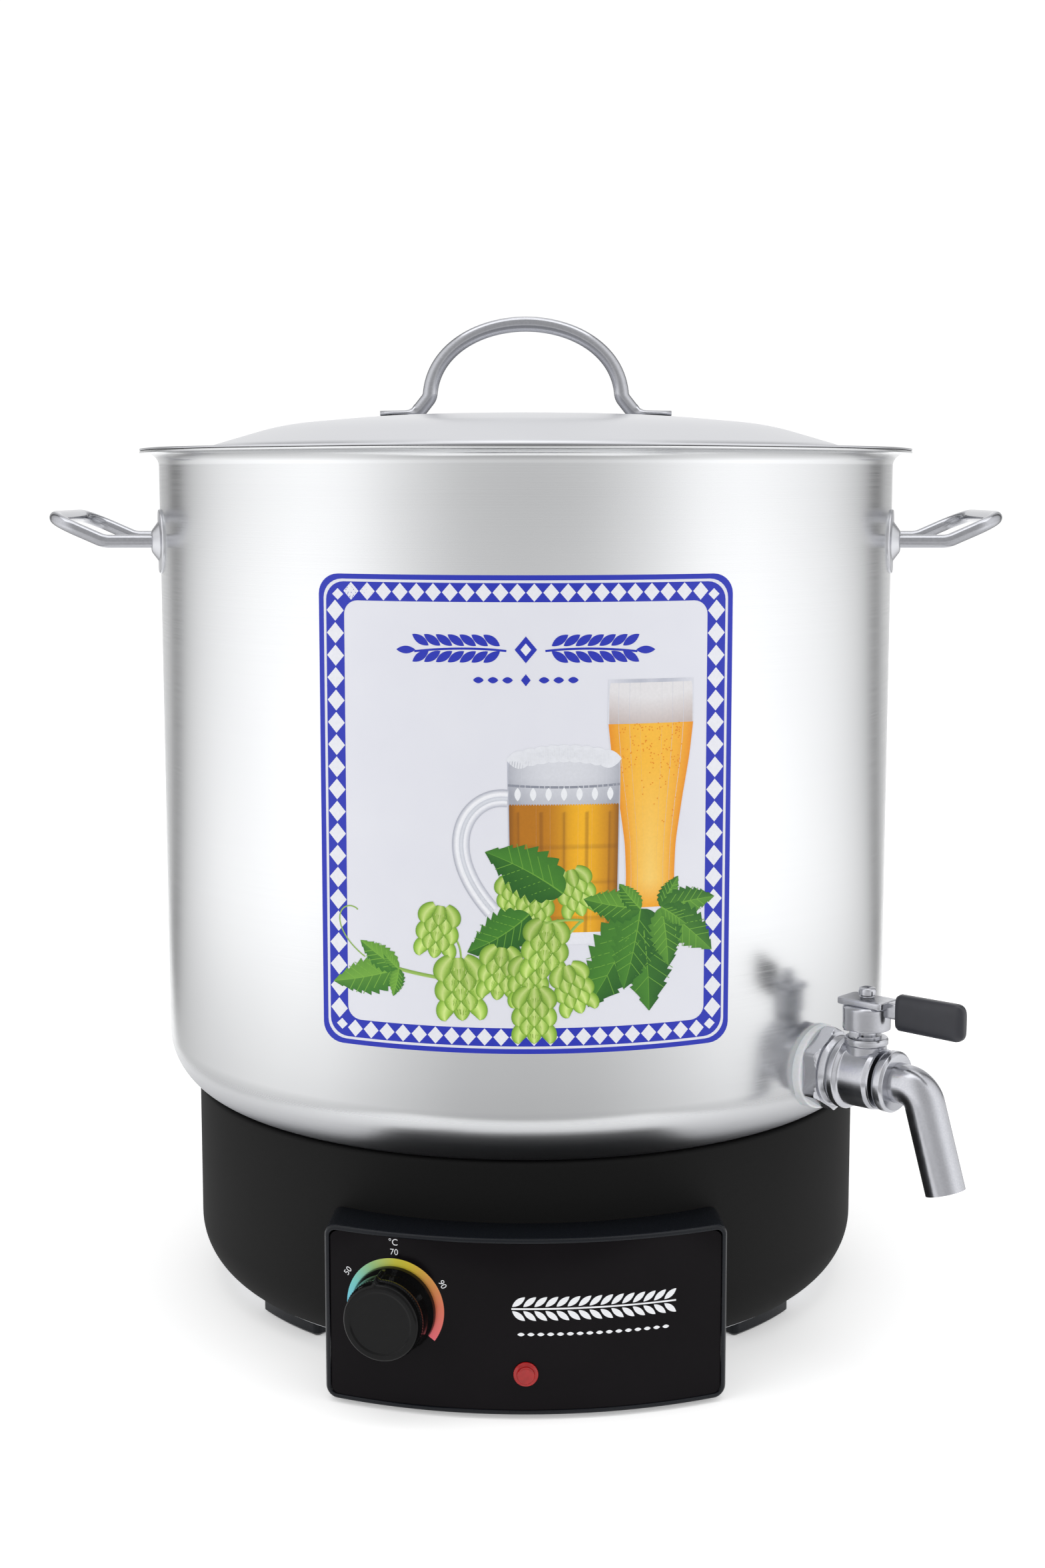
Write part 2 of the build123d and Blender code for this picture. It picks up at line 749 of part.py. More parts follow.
knob_start = 2 * body_gap
knob_neck = knob_start + knob_skirt_t
knob_hollow = 4.0
knob_wall = 2.5
knob_edge_r = 1.2
pointer_rest = 10.0
with BuildPart() as knob:
    with BuildSketch(knob_face.offset(knob_start)):
        Circle(knob_skirt_r)
    extrude(amount=knob_skirt_t)
    with BuildSketch(knob_face.offset(knob_neck)):
        Circle(knob_face_r + 0.6)
    extrude(amount=knob_depth - knob_neck, taper=1.5)
    fillet(knob.faces().sort_by(Axis.Y)[0].edges(), knob_edge_r)
    with BuildSketch(knob_face.offset(knob_start)):
        Circle(knob_skirt_r - knob_wall)
    extrude(amount=knob_hollow, mode=Mode.SUBTRACT)
    with BuildSketch(knob_face.offset(knob_start)):
        Circle(shaft_r + weld_gap)
    extrude(amount=shaft_end + 0.5 - knob_start, mode=Mode.SUBTRACT)
    pointer_plane = knob_face.rotated((0, 0, pointer_rest))
    with BuildSketch(pointer_plane.offset(knob_neck)):
        with Locations((0, knob_face_r)):
            Rectangle(pointer_width, 1.5 * pointer_width)
    extrude(amount=knob_depth - knob_neck - 0.6)
write(knob.part, "knob")

sensor_r = 3.0
sensor_y = -35.0
sensor_z = plate_low_z - sensor_r - weld_gap
sensor_half = 28.0
tube_r = 0.9
tube_bends = (8, 10, 6)
tube_turn = (-48.0, sensor_y - 27.0, sensor_z - 26.0)
tail = knob_face.from_local_coords((0, 0, thermostat_back))
before_tail = knob_face.from_local_coords((0, 0, thermostat_back - 14))
with BuildPart() as thermostat_sensor:
    with BuildSketch(Plane.YZ.offset(-sensor_half)):
        with Locations((sensor_y, sensor_z)):
            Circle(sensor_r)
    extrude(amount=2 * sensor_half)
    with BuildLine() as capillary:
        FilletPolyline(
            (1 - sensor_half, sensor_y, sensor_z),
            (-sensor_half - 18, sensor_y, sensor_z),
            tube_turn,
            before_tail,
            tail,
            radius=tube_bends,
        )
    with BuildSketch(Plane(capillary.line @ 0, z_dir=capillary.line % 0)):
        Circle(tube_r)
    sweep(path=capillary.line)
write(thermostat_sensor.part, "thermostat_sensor")

# ---- mains side: terminal block and cord gland ----

block_x = 30.0
block_y = 40.0 - base_floor_hole_r
block_length = 46.0
block_width = 22.0
block_height = 18.0
way_pitch = 14.0
way_count = 3
way_r = 3.0
way_depth = 6.0
with BuildPart() as terminal_block:
    with BuildSketch(pan_top):
        with Locations((block_x, block_y)):
            RectangleRounded(block_length, block_width, 2)
    extrude(amount=block_height)
    with BuildSketch(pan_top.offset(block_height)):
        with Locations((block_x, block_y)):
            with GridLocations(way_pitch, 0, way_count, 1):
                Circle(way_r)
    extrude(amount=-way_depth, mode=Mode.SUBTRACT)
write(terminal_block.part, "terminal_block")

gland_bore_r = 3.8
gland_flange_r = 11.0
gland_flange_end = 4.5
gland_nose_r = 7.0
gland_nose_t = 7.5
gland_back = -16.0
with BuildPart() as cord_gland:
    with BuildSketch(gland_face.offset(-1.5)):
        Circle(gland_flange_r)
    extrude(amount=1.5 + gland_flange_end)
    add(base_envelope.part, mode=Mode.SUBTRACT)
    with BuildSketch(gland_face.offset(gland_back)):
        Circle(gland_r)
    extrude(amount=gland_flange_end - gland_back)
    with BuildSketch(gland_face.offset(gland_flange_end)):
        Circle(gland_nose_r)
    extrude(amount=gland_nose_t, taper=8)
    with BuildSketch(gland_face.offset(gland_back)):
        Circle(gland_bore_r)
    extrude(amount=-2 * gland_back, mode=Mode.SUBTRACT)
write(cord_gland.part, "cord_gland")
gland_nut_end = -base_wall - 1.0
gland_nut_start = gland_nut_end - 6.0
gland_nut_across = 22.0
gland_nut = hex_nut(
    gland_face, gland_nut_start, gland_nut_end, gland_nut_across, gland_r + weld_gap
)
write(gland_nut, "gland_nut")

# ---- tap fitted through the wall ----

tap_side = side_plane(tap_angle, pot_r)
tap_axis = Axis(tap_side.from_local_coords((0, tap_z, 0)), tap_side.x_dir)
stem_foot = tap_side.from_local_coords((stem_s, 0, 0))
stem_plane = Plane(stem_foot, x_dir=tap_side.x_dir, z_dir=(0, 0, 1))
stem_side = side_plane(tap_angle, pot_r + stem_s)

with BuildPart() as tap_gasket:
    with BuildSketch(tap_face.offset(-8)):
        Circle(gasket_r)
        Circle(shank_r + thread_gap, mode=Mode.SUBTRACT)
    extrude(amount=8 + gasket_t)
    add(pot_envelope.part, mode=Mode.SUBTRACT)
write(tap_gasket.part, "tap_gasket")

shank_start = -16.0
inner_seal_t = 2.5
cavity_start = stem_s - seat_far - 0.1
shoulder_end = stem_s - 6.5
gland_ring_r = 6.6
packing_low_z = boss_top_z - 5.0
with BuildPart() as tap_body:
    with BuildSketch(tap_side):
        with BuildLine():
            Polyline(
                (shank_start, tap_z),
                (shank_start, tap_z + shank_r),
                (gasket_t, tap_z + shank_r),
                (gasket_t, tap_z + step_r),
                (shoulder_end, tap_z + step_r),
                (shoulder_end, tap_z + barrel_r),
                (barrel_end, tap_z + barrel_r),
                (barrel_end, tap_z),
                close=True,
            )
        make_face()
    revolve(axis=tap_axis)
    with BuildSketch(tap_face.offset(gasket_t)):
        RegularPolygon(hex_across / 2 / cos(radians(30)), 6, rotation=30)
    extrude(amount=hex_t)
    with BuildSketch(stem_plane.offset(tap_z)):
        Circle(boss_r)
    extrude(amount=boss_top_z - tap_z)
    with BuildSketch(tap_face.offset(shank_start)):
        Circle(water_r + 0.5)
    extrude(amount=cavity_start - shank_start, mode=Mode.SUBTRACT)
    with BuildSketch(tap_face.offset(cavity_start)):
        Circle(barrel_bore_r)
    extrude(amount=barrel_end - cavity_start, mode=Mode.SUBTRACT)
    with BuildSketch(stem_plane.offset(tap_z)):
        Circle(stem_r + shaft_gap)
    extrude(amount=boss_top_z - tap_z, mode=Mode.SUBTRACT)
    with BuildSketch(stem_plane.offset(packing_low_z)):
        Circle(gland_ring_r + weld_gap)
    extrude(amount=boss_top_z - packing_low_z, mode=Mode.SUBTRACT)
write(tap_body.part, "tap_body")

packing_top_z = packing_low_z + 2.0
gland_top_z = boss_top_z + 0.8
stem_hole_r = stem_r + shaft_gap
stem_packing = ring(stem_plane, packing_low_z, packing_top_z, gland_ring_r, stem_hole_r)
write(stem_packing, "stem_packing")
stem_gland_nut = ring(stem_plane, packing_top_z, gland_top_z, gland_ring_r, stem_hole_r)
write(stem_gland_nut, "stem_gland_nut")

with BuildPart() as tap_inner_gasket:
    with BuildSketch(tap_face.offset(-pot_wall - inner_seal_t)):
        Circle(gasket_r - 3)
        Circle(shank_r + thread_gap, mode=Mode.SUBTRACT)
    extrude(amount=inner_seal_t + pot_wall)
    add(pot_shell.part, mode=Mode.SUBTRACT)
write(tap_inner_gasket.part.solids().sort_by(SortBy.VOLUME)[-1], "tap_inner_gasket")
inner_nut_end = -pot_wall - inner_seal_t - 1.5
inner_nut_start = inner_nut_end - 7.0
inner_nut_across = 27.0
inner_nut = hex_nut(
    tap_face, inner_nut_start, inner_nut_end, inner_nut_across, shank_r + weld_gap
)
write(inner_nut, "tap_inner_nut")

seat_near = stem_r + 2 * body_gap
seat_ball_r = ball_r + body_gap
seat_lip_r = sqrt(seat_ball_r**2 - seat_near**2)
seat_throat = sqrt(seat_ball_r**2 - water_r**2)
for seat_name, way in (("inner", -1), ("outer", 1)):
    with BuildPart() as ball_seat:
        with BuildSketch(tap_side):
            with BuildLine():
                rim = (stem_s + way * seat_near, tap_z + seat_lip_r)
                throat = (stem_s + way * seat_throat, tap_z + water_r)
                Polyline(
                    throat,
                    (stem_s + way * seat_far, tap_z + water_r),
                    (stem_s + way * seat_far, tap_z + barrel_bore_r - weld_gap),
                    (stem_s + way * seat_near, tap_z + barrel_bore_r - weld_gap),
                    rim,
                )
                RadiusArc(rim, throat, way * seat_ball_r)
            make_face()
        revolve(axis=tap_axis)
    write(ball_seat.part, f"ball_seat_{seat_name}")

slot_width = 5.0
slot_depth = 3.0
with BuildPart() as tap_ball:
    with Locations(tap_side.from_local_coords((stem_s, tap_z, 0))):
        Sphere(ball_r)
    with BuildSketch(tap_face):
        Circle(water_r - 0.5)
    extrude(amount=2 * stem_s, mode=Mode.SUBTRACT)
    with BuildSketch(stem_plane.offset(tap_z + ball_r)):
        Rectangle(3 * ball_r, slot_width)
    extrude(amount=-slot_depth, mode=Mode.SUBTRACT)
write(tap_ball.part, "tap_ball")

screw_shank_r = 1.7
screw_depth = 9.0
stem_top_z = hub_top_z - 0.4
stem_low_z = tap_z + ball_r + weld_gap
with BuildPart() as tap_stem:
    with BuildSketch(stem_plane.offset(stem_low_z)):
        Circle(stem_r)
    extrude(amount=stem_top_z - stem_low_z)
    with BuildSketch(stem_plane.offset(stem_low_z)):
        Rectangle(2 * (stem_r - 1), slot_width - 0.3)
    extrude(amount=-slot_depth + 0.2)
    with BuildSketch(stem_plane.offset(stem_top_z)):
        Circle(screw_shank_r + weld_gap)
    extrude(amount=-screw_depth - 1, mode=Mode.SUBTRACT)
write(tap_stem.part, "tap_stem")

# ---- lever on the stem ----

top_plate_length = 2 * hub_r + 1.6
top_plate_width = 15.0
top_plate_t = 3.2
tab_width = 4.0
tab_drop = 2.6
fin_t = 2.4
fin_z = hub_low_z + 9.8
fin_height = 7.0
fin_length = 26.0
sleeve_start = hub_r + 5.3
fin_start = hub_r - 3
fin_end = sleeve_start + fin_length
tab_r = hub_r - 1.2
with BuildPart() as tap_lever:
    with BuildSketch(stem_plane.offset(hub_low_z)):
        Circle(hub_r)
    extrude(amount=hub_top_z - hub_low_z)
    with BuildSketch(stem_plane.offset(hub_top_z)):
        Rectangle(top_plate_length, top_plate_width)
    extrude(amount=-top_plate_t)
    with BuildSketch(stem_side):
        with Locations(((fin_start + fin_end) / 2, fin_z)):
            Rectangle(fin_end - fin_start, fin_height)
    extrude(amount=fin_t / 2, both=True)
    with BuildSketch(stem_plane.offset(hub_low_z)):
        with Locations((0, -tab_r), (-tab_r, 0)):
            Rectangle(tab_width, tab_width)
    extrude(amount=-tab_drop)
    with BuildSketch(stem_plane.offset(hub_low_z - 3)):
        Circle(hub_r - hub_wall)
    extrude(amount=7.5, mode=Mode.SUBTRACT)
    with BuildSketch(stem_plane.offset(hub_low_z - 3)):
        Circle(stem_r + weld_gap)
    extrude(amount=hub_top_z, mode=Mode.SUBTRACT)
write(tap_lever.part, "tap_lever")

sleeve_corner_r = 3.0
sleeve_edge_r = 2.2
sleeve_across = Axis(stem_foot, stem_side.z_dir)
with BuildPart() as lever_sleeve:
    with BuildSketch(stem_side):
        with Locations((sleeve_start + sleeve_length / 2, fin_z)):
            RectangleRounded(sleeve_length, sleeve_height, sleeve_corner_r)
    extrude(amount=sleeve_width / 2, both=True)
    fillet(lever_sleeve.faces().filter_by(sleeve_across).edges(), sleeve_edge_r)
    add(tap_lever.part, mode=Mode.SUBTRACT)
write(lever_sleeve.part, "lever_sleeve")

washer_t = 1.4
head_r = 3.9
head_t = 3.4
head_edge_r = 1.8
recess_length = 4.4
recess_width = 0.9
washer_low_z = hub_top_z + weld_gap
washer_top_z = washer_low_z + washer_t
washer_hole_r = screw_shank_r + weld_gap
lever_washer = ring(stem_plane, washer_low_z, washer_top_z, head_r - 0.2, washer_hole_r)
write(lever_washer, "lever_washer")
head_low_z = washer_top_z + weld_gap
with BuildPart() as lever_screw:
    with BuildSketch(stem_plane.offset(head_low_z)):
        Circle(head_r)
    extrude(amount=head_t)
    fillet(lever_screw.faces().sort_by(Axis.Z)[-1].edges(), head_edge_r)
    with BuildSketch(stem_plane.offset(head_low_z + head_t)):
        Rectangle(recess_length, recess_width)
        Rectangle(recess_width, recess_length)
    extrude(amount=-2 * recess_width, mode=Mode.SUBTRACT)
    with BuildSketch(stem_plane.offset(head_low_z)):
        Circle(screw_shank_r)
    extrude(amount=-screw_depth)
write(lever_screw.part, "lever_screw")

# ---- spout and the collar that holds it ----

plug_start = stem_s + seat_far + weld_gap
collar_edge_r = 1.2
with BuildPart() as spout_collar:
    with BuildSketch(tap_face.offset(barrel_end + weld_gap)):
        Circle(collar_r)
    extrude(amount=collar_t)
    fillet(spout_collar.edges().filter_by(GeomType.CIRCLE), collar_edge_r)
    with BuildSketch(tap_face.offset(plug_start)):
        Circle(barrel_bore_r - weld_gap)
    extrude(amount=barrel_end - plug_start + 2)
    with BuildSketch(tap_face.offset(plug_start)):
        Circle(water_r)
    extrude(amount=2 * collar_t, mode=Mode.SUBTRACT)
    with BuildSketch(tap_face.offset(plug_start + 2)):
        Circle(spout_r + weld_gap)
    extrude(amount=2 * collar_t, mode=Mode.SUBTRACT)
write(spout_collar.part, "spout_collar")

fall = radians(spout_fall)
bend_start = barrel_end + collar_t + spout_straight
bend_reach = spout_bend_r * tan(fall / 2)
bend_low_z = tap_z - spout_bend_r * (1 - cos(fall))
bend_out = bend_start + spout_bend_r * sin(fall)
tip_out = bend_out + (bend_low_z - spout_tip_z) / tan(fall)
with BuildPart() as spout:
    with BuildLine(tap_side) as spout_path:
        FilletPolyline(
            (plug_start + 2 + seat_gap, tap_z),
            (bend_start + bend_reach, tap_z),
            (tip_out, spout_tip_z),
            radius=spout_bend_r,
        )
    with BuildSketch(Plane(spout_path.line @ 0, z_dir=spout_path.line % 0)):
        Circle(spout_r)
        Circle(spout_r - spout_wall, mode=Mode.SUBTRACT)
    sweep(path=spout_path.line)
write(spout.part, "spout")
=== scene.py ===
import json
import math

import bmesh
import bpy
import numpy as np
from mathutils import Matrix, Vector


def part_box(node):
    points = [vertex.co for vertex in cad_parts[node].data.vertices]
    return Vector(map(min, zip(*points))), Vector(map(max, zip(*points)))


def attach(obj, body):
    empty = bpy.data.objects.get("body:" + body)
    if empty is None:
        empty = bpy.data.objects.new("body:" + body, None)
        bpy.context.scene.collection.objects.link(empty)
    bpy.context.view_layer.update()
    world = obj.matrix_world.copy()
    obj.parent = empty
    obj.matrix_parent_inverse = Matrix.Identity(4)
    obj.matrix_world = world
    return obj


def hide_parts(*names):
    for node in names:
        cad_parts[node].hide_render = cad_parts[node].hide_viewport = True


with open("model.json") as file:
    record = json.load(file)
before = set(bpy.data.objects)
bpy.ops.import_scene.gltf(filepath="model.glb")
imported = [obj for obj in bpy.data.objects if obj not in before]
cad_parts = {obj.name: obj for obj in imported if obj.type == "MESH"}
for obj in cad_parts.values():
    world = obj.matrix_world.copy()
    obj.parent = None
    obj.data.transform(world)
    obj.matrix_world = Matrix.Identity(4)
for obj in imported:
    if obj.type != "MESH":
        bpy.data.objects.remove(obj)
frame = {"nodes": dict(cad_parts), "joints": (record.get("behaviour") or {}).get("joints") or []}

# Electric brew kettle. Shapes are worked out in millimetres and put into meshes in metres.
# The pot's axis is Z, the control box faces -Y, and angles round the pot count from the front.

MM = 0.001
TAU = 2 * math.pi
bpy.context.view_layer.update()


# ---------------------------------------------------------------- sizes read from the frame


def corners(node):
    """Lowest and highest corner of a CAD node, in millimetres."""
    low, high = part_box(node)
    return np.array(low) / MM, np.array(high) / MM


def joint(name):
    """A joint's position in millimetres and its unit axis."""
    row = next(j for j in frame["joints"] if j["name"] == name)
    axis = np.array(row["axis"], float)
    return np.array(row.get("pos_m", (0, 0, 0))) / MM, axis / np.linalg.norm(axis)


pot_low, pot_high = corners("pot_shell")
base_low, base_high = corners("base_housing")
box_low, box_high = corners("control_box")
panel_low, panel_high = corners("control_panel")
lid_low, lid_high = corners("lid")
label_low, label_high = corners("pot_label")

lip_r = pot_high[0]
rim_z = pot_high[2]
pot_floor_z = pot_low[2]
lip_overhang = 9.0
pot_r = lip_r - lip_overhang
pot_wall = 1.0
pot_corner_r = 28.0
lip_flare_r = 6.0
base_r = base_high[0]
base_low_z, base_rim_z = base_low[2], base_high[2]
base_corner_r = 28.0
base_wall = 3.0
base_corner_tall = 22.0
base_floor_hole_r = 136.0
box_face_r = -box_low[1]
panel_r = -panel_low[1]


def around(angle):
    """Outward and sideways unit vectors at an angle in degrees from the front, towards +X."""
    a = math.radians(angle)
    return np.array((math.sin(a), -math.cos(a), 0.0)), np.array((math.cos(a), math.sin(a), 0.0))


UP = np.array((0.0, 0.0, 1.0))

# ---------------------------------------------------------------- mesh helpers


def put(
    name, grids, body, material, replaces=(), closed=True, sharp=40.0, wrap=(True, False), merge=True
):
    """One mesh object from grids of points (rows, columns, xyz) in millimetres. wrap says whether
    a grid's rows and its columns join up with themselves; doubled points at poles are merged."""
    points, faces, start = [], [], 0
    for grid in grids:
        grid, wrap_rows, wrap_columns = grid if isinstance(grid, tuple) else (grid, *wrap)
        rows, columns = grid.shape[:2]
        index = start + np.arange(rows * columns).reshape(rows, columns)
        if wrap_rows:
            index = np.vstack((index, index[:1]))
        if wrap_columns:
            index = np.hstack((index, index[:, :1]))
        quads = np.stack((index[:-1, :-1], index[1:, :-1], index[1:, 1:], index[:-1, 1:]), -1)
        points.append(grid.reshape(-1, 3))
        faces.append(quads.reshape(-1, 4))
        start += rows * columns
    mesh = bpy.data.meshes.new(name)
    mesh.from_pydata(np.concatenate(points) * MM, [], np.concatenate(faces).tolist())
    work = bmesh.new()
    work.from_mesh(mesh)
    if merge:
        bmesh.ops.remove_doubles(work, verts=work.verts, dist=1e-6)
        bmesh.ops.dissolve_degenerate(work, edges=work.edges, dist=1e-7)
    if closed:
        bmesh.ops.recalc_face_normals(work, faces=work.faces)
    work.to_mesh(mesh)
    work.free()
    return finish_piece(name, mesh, body, material, replaces, sharp)


def finish_piece(name, mesh, body, material, replaces=(), sharp=40.0):
    """Shade a mesh smooth up to an angle, give it its material and hang it on its body."""
    mesh.polygons.foreach_set("use_smooth", np.ones(len(mesh.polygons), bool))
    mesh.set_sharp_from_angle(angle=math.radians(sharp))
    mesh.materials.append(material)
    piece = bpy.data.objects.new(name, mesh)
    bpy.context.scene.collection.objects.link(piece)
    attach(piece, body)
    if replaces:
        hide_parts(*replaces)
    return piece


def rounded(points, radii, step=8.0):
    """Polyline with arcs at its corners: a corner is cut back by radius times the tangent of
    half its turn, and an arc tangent to both runs joins the cuts. Works in two or three axes."""
    points = [np.asarray(p, float) for p in points]
    line = [points[0]]
    for before, corner, after, radius in zip(points, points[1:], points[2:], radii):
        back = (before - corner) / np.linalg.norm(before - corner)
        ahead = (after - corner) / np.linalg.norm(after - corner)
        half = (math.pi - math.acos(np.clip(back @ ahead, -1, 1))) / 2
        if radius < 1e-6 or half < 1e-4:
            line.append(corner)
            continue
        inward = (back + ahead) / np.linalg.norm(back + ahead)
        centre = corner + inward * radius / math.cos(half)
        side = -ahead + back
        side = -side / np.linalg.norm(side)
        for turn in np.linspace(-half, half, max(3, int(math.degrees(2 * half) / step) + 2)):
            line.append(centre + radius * (math.sin(turn) * side - math.cos(turn) * inward))
    line.append(points[-1])
    return np.array(line)


def spread(line, step):
    """The same line with extra points so that no run is longer than step."""
    out = [line[0]]
    for a, b in zip(line, line[1:]):
        count = max(1, int(np.linalg.norm(b - a) / step))
        out.extend(a + (b - a) * k / count for k in range(1, count + 1))
    return np.array(out)


def turned(profile, count=160, centre=(0, 0, 0), axis=(0, 0, 1)):
    """Surface of revolution: each profile point (radius, height) becomes
    centre + height * axis + radius * (cos t * x + sin t * y), for count angles t."""
    axis = np.asarray(axis, float)
    x = np.cross(axis, UP) if abs(axis[2]) < 0.9 else np.array((1.0, 0, 0))
    x /= np.linalg.norm(x)
    y = np.cross(axis, x)
    t = np.arange(count) * TAU / count
    spoke = np.cos(t)[:, None] * x + np.sin(t)[:, None] * y
    r, h = profile[:, 0], profile[:, 1]
    return np.asarray(centre, float) + r[None, :, None] * spoke[:, None] + h[None, :, None] * axis


def frames_along(path):
    """Tangent and two normals at each point of a path, the normals carried without twist."""
    tangent = np.gradient(path, axis=0)
    tangent /= np.linalg.norm(tangent, axis=1)[:, None]
    first = np.cross(tangent[0], UP)
    if np.linalg.norm(first) < 0.1:
        first = np.cross(tangent[0], (1.0, 0, 0))
    normal = first / np.linalg.norm(first)
    normals = []
    for t in tangent:
        normal = normal - (normal @ t) * t
        normal /= np.linalg.norm(normal)
        normals.append(normal)
    normals = np.array(normals)
    return tangent, normals, np.cross(tangent, normals)


def tube(path, radius, count=32, wide=None, high=None):
    """Round section carried along a path: point = path + radius * (cos t * n * wide + sin t * b
    * high). The ends close to a point on the path."""
    _, n, b = frames_along(path)
    t = np.arange(count) * TAU / count
    wide = np.ones(len(path)) if wide is None else wide
    high = np.ones(len(path)) if high is None else high
    ring = (
        np.cos(t)[:, None, None] * n * wide[:, None] + np.sin(t)[:, None, None] * b * high[:, None]
    )
    grid = path + radius * ring
    ends = np.repeat(path[None, :1], count, 0), np.repeat(path[None, -1:], count, 0)
    return np.concatenate((ends[0], grid, ends[1]), axis=1)


def rounded_loop(x0, x1, z0, z1, radius, count=10, edge=24):
    """Closed loop of a rounded rectangle: four straight sides of edge points and four arcs."""
    loop = []
    centres = (
        (x1 - radius, z0 + radius, -90),
        (x1 - radius, z1 - radius, 0),
        (x0 + radius, z1 - radius, 90),
        (x0 + radius, z0 + radius, 180),
    )
    for k, (cx, cz, start) in enumerate(centres):
        for a in np.radians(np.linspace(start, start + 90, count)):
            loop.append((cx + radius * math.cos(a), cz + radius * math.sin(a)))
        nx, nz, nstart = centres[(k + 1) % 4]
        a = math.radians(nstart)
        after = np.array((nx + radius * math.cos(a), nz + radius * math.sin(a)))
        here = np.array(loop[-1])
        loop.extend(tuple(here + (after - here) * i / edge) for i in range(1, edge))
    return np.array(loop)


# ---------------------------------------------------------------- material helpers


def linear(code):
    """sRGB hex colour to linear red, green, blue and a full alpha."""
    channels = [int(code[i : i + 2], 16) / 255 for i in (1, 3, 5)]
    curve = [c / 12.92 if c <= 0.04045 else ((c + 0.055) / 1.055) ** 2.4 for c in channels]
    return (*curve, 1.0)


def add(tree, kind, inputs=None, **settings):
    """Add a node, set its settings, and set or link its inputs."""
    made = tree.nodes.new(kind)
    for key, value in settings.items():
        setattr(made, key, value)
    for key, value in (inputs or {}).items():
        socket = made.inputs[key]
        if isinstance(value, bpy.types.NodeSocket):
            tree.links.new(value, socket)
        else:
            socket.default_value = value
    return made


def new_material(name, **shader_values):
    """Material with one Principled shader; the values go straight onto its sockets."""
    made = bpy.data.materials.new(name)
    made.use_nodes = True
    shader = made.node_tree.nodes["Principled BSDF"]
    for key, value in shader_values.items():
        shader.inputs[key.replace("_", " ")].default_value = value
    return made, made.node_tree, shader


def object_space(tree, scale=(1, 1, 1)):
    """Object coordinates stretched by scale, which is in cycles per metre."""
    coordinates = add(tree, "ShaderNodeTexCoord").outputs["Object"]
    return add(tree, "ShaderNodeMapping", {"Vector": coordinates, "Scale": scale}).outputs[0]


def noise(tree, vector, detail=3.0, rough=0.5, scale=1.0):
    """Noise between 0 and 1 on a vector that already holds the real scale."""
    values = {"Vector": vector, "Scale": scale, "Detail": detail, "Roughness": rough}
    return add(tree, "ShaderNodeTexNoise", values).outputs["Fac"]


def between(tree, fac, low, high):
    """Fac from 0..1 mapped to low..high."""
    values = {"Value": fac, "To Min": low, "To Max": high}
    return add(tree, "ShaderNodeMapRange", values).outputs["Result"]


def blend_colours(tree, fac, first, second):
    """Mix of two colours by fac."""
    made = add(tree, "ShaderNodeMix", data_type="RGBA")
    for key, value in (("Factor", fac), ("A", first), ("B", second)):
        socket = next(s for s in made.inputs if s.name == key and (key == "Factor" or s.type == "RGBA"))
        if isinstance(value, bpy.types.NodeSocket):
            tree.links.new(value, socket)
        else:
            socket.default_value = value
    return next(s for s in made.outputs if s.type == "RGBA")


def two_tones(tree, shader, fac, first, second):
    """Base colour that goes from one hex colour to another by fac."""
    mixed = blend_colours(tree, fac, linear(first), linear(second))
    tree.links.new(mixed, shader.inputs["Base Color"])


def bump(tree, height, strength, distance):
    """Bump from a height between 0 and 1; distance is its depth in metres."""
    values = {"Height": height, "Strength": strength, "Distance": distance}
    return add(tree, "ShaderNodeBump", values).outputs["Normal"]


# ---------------------------------------------------------------- materials

# Satin-brushed 18/10 stainless sheet. The grit runs round the pot, so reflections smear into tall
# soft bands; the lines are 0.4 mm apart here, coarser than the real grit, so that they show. Over the
# bottom corner, where the pot curves down into the base, the sheet is rougher and its colour is painted
# greyer as shade.
brushed_stainless, tree, shader = new_material(
    "brushed_stainless", Metallic=1.0, Roughness=0.22, Anisotropic=0.55
)
lines = noise(tree, object_space(tree, (6, 6, 2500)), 2.0)
clouds = noise(tree, object_space(tree, (14, 14, 9)), 4.0)
height = add(tree, "ShaderNodeSeparateXYZ", {"Vector": object_space(tree)}).outputs["Z"]
# Painted shade: from 124 mm down to 102 mm the base colour turns greyer (#98999D) and the roughness
# rises by up to 0.3.
foot_shade_and_matt = add(tree, "ShaderNodeMapRange", {"Value": height, "From Min": 0.124, "From Max": 0.102})
foot_shade_and_matt = foot_shade_and_matt.outputs["Result"]
sheet = blend_colours(tree, clouds, linear("#D3D4D6"), linear("#D9DADB"))
tree.links.new(blend_colours(tree, foot_shade_and_matt, sheet, linear("#98999D")), shader.inputs["Base Color"])
rough = add(tree, "ShaderNodeMath", {0: between(tree, lines, 0.15, 0.26)}, operation="ADD")
tree.links.new(between(tree, foot_shade_and_matt, 0.0, 0.3), rough.inputs[1])
tree.links.new(rough.outputs[0], shader.inputs["Roughness"])
tree.links.new(bump(tree, lines, 0.06, 0.0001), shader.inputs["Normal"])
tangent = add(tree, "ShaderNodeTangent", direction_type="RADIAL", axis="Z")
tree.links.new(tangent.outputs[0], shader.inputs["Tangent"])

# Bright pressed stainless sheet, finer than the pot: an even pale sheen with faint clouding.
pressed_stainless, tree, shader = new_material("pressed_stainless", Metallic=1.0, Roughness=0.3)
clouds = noise(tree, object_space(tree, (30, 30, 30)), 3.0)
two_tones(tree, shader, clouds, "#C6C7CB", "#CFD0D4")
tree.links.new(between(tree, clouds, 0.26, 0.34), shader.inputs["Roughness"])

# Drawn and polished stainless rod: a very fine grain and a grey, slightly soft mirror.
drawn_rod, tree, shader = new_material("drawn_rod", Metallic=1.0, Roughness=0.16)
grain = noise(tree, object_space(tree, (900, 900, 900)), 2.0)
two_tones(tree, shader, grain, "#A2A3A8", "#B4B5BA")
tree.links.new(between(tree, grain, 0.12, 0.22), shader.inputs["Roughness"])

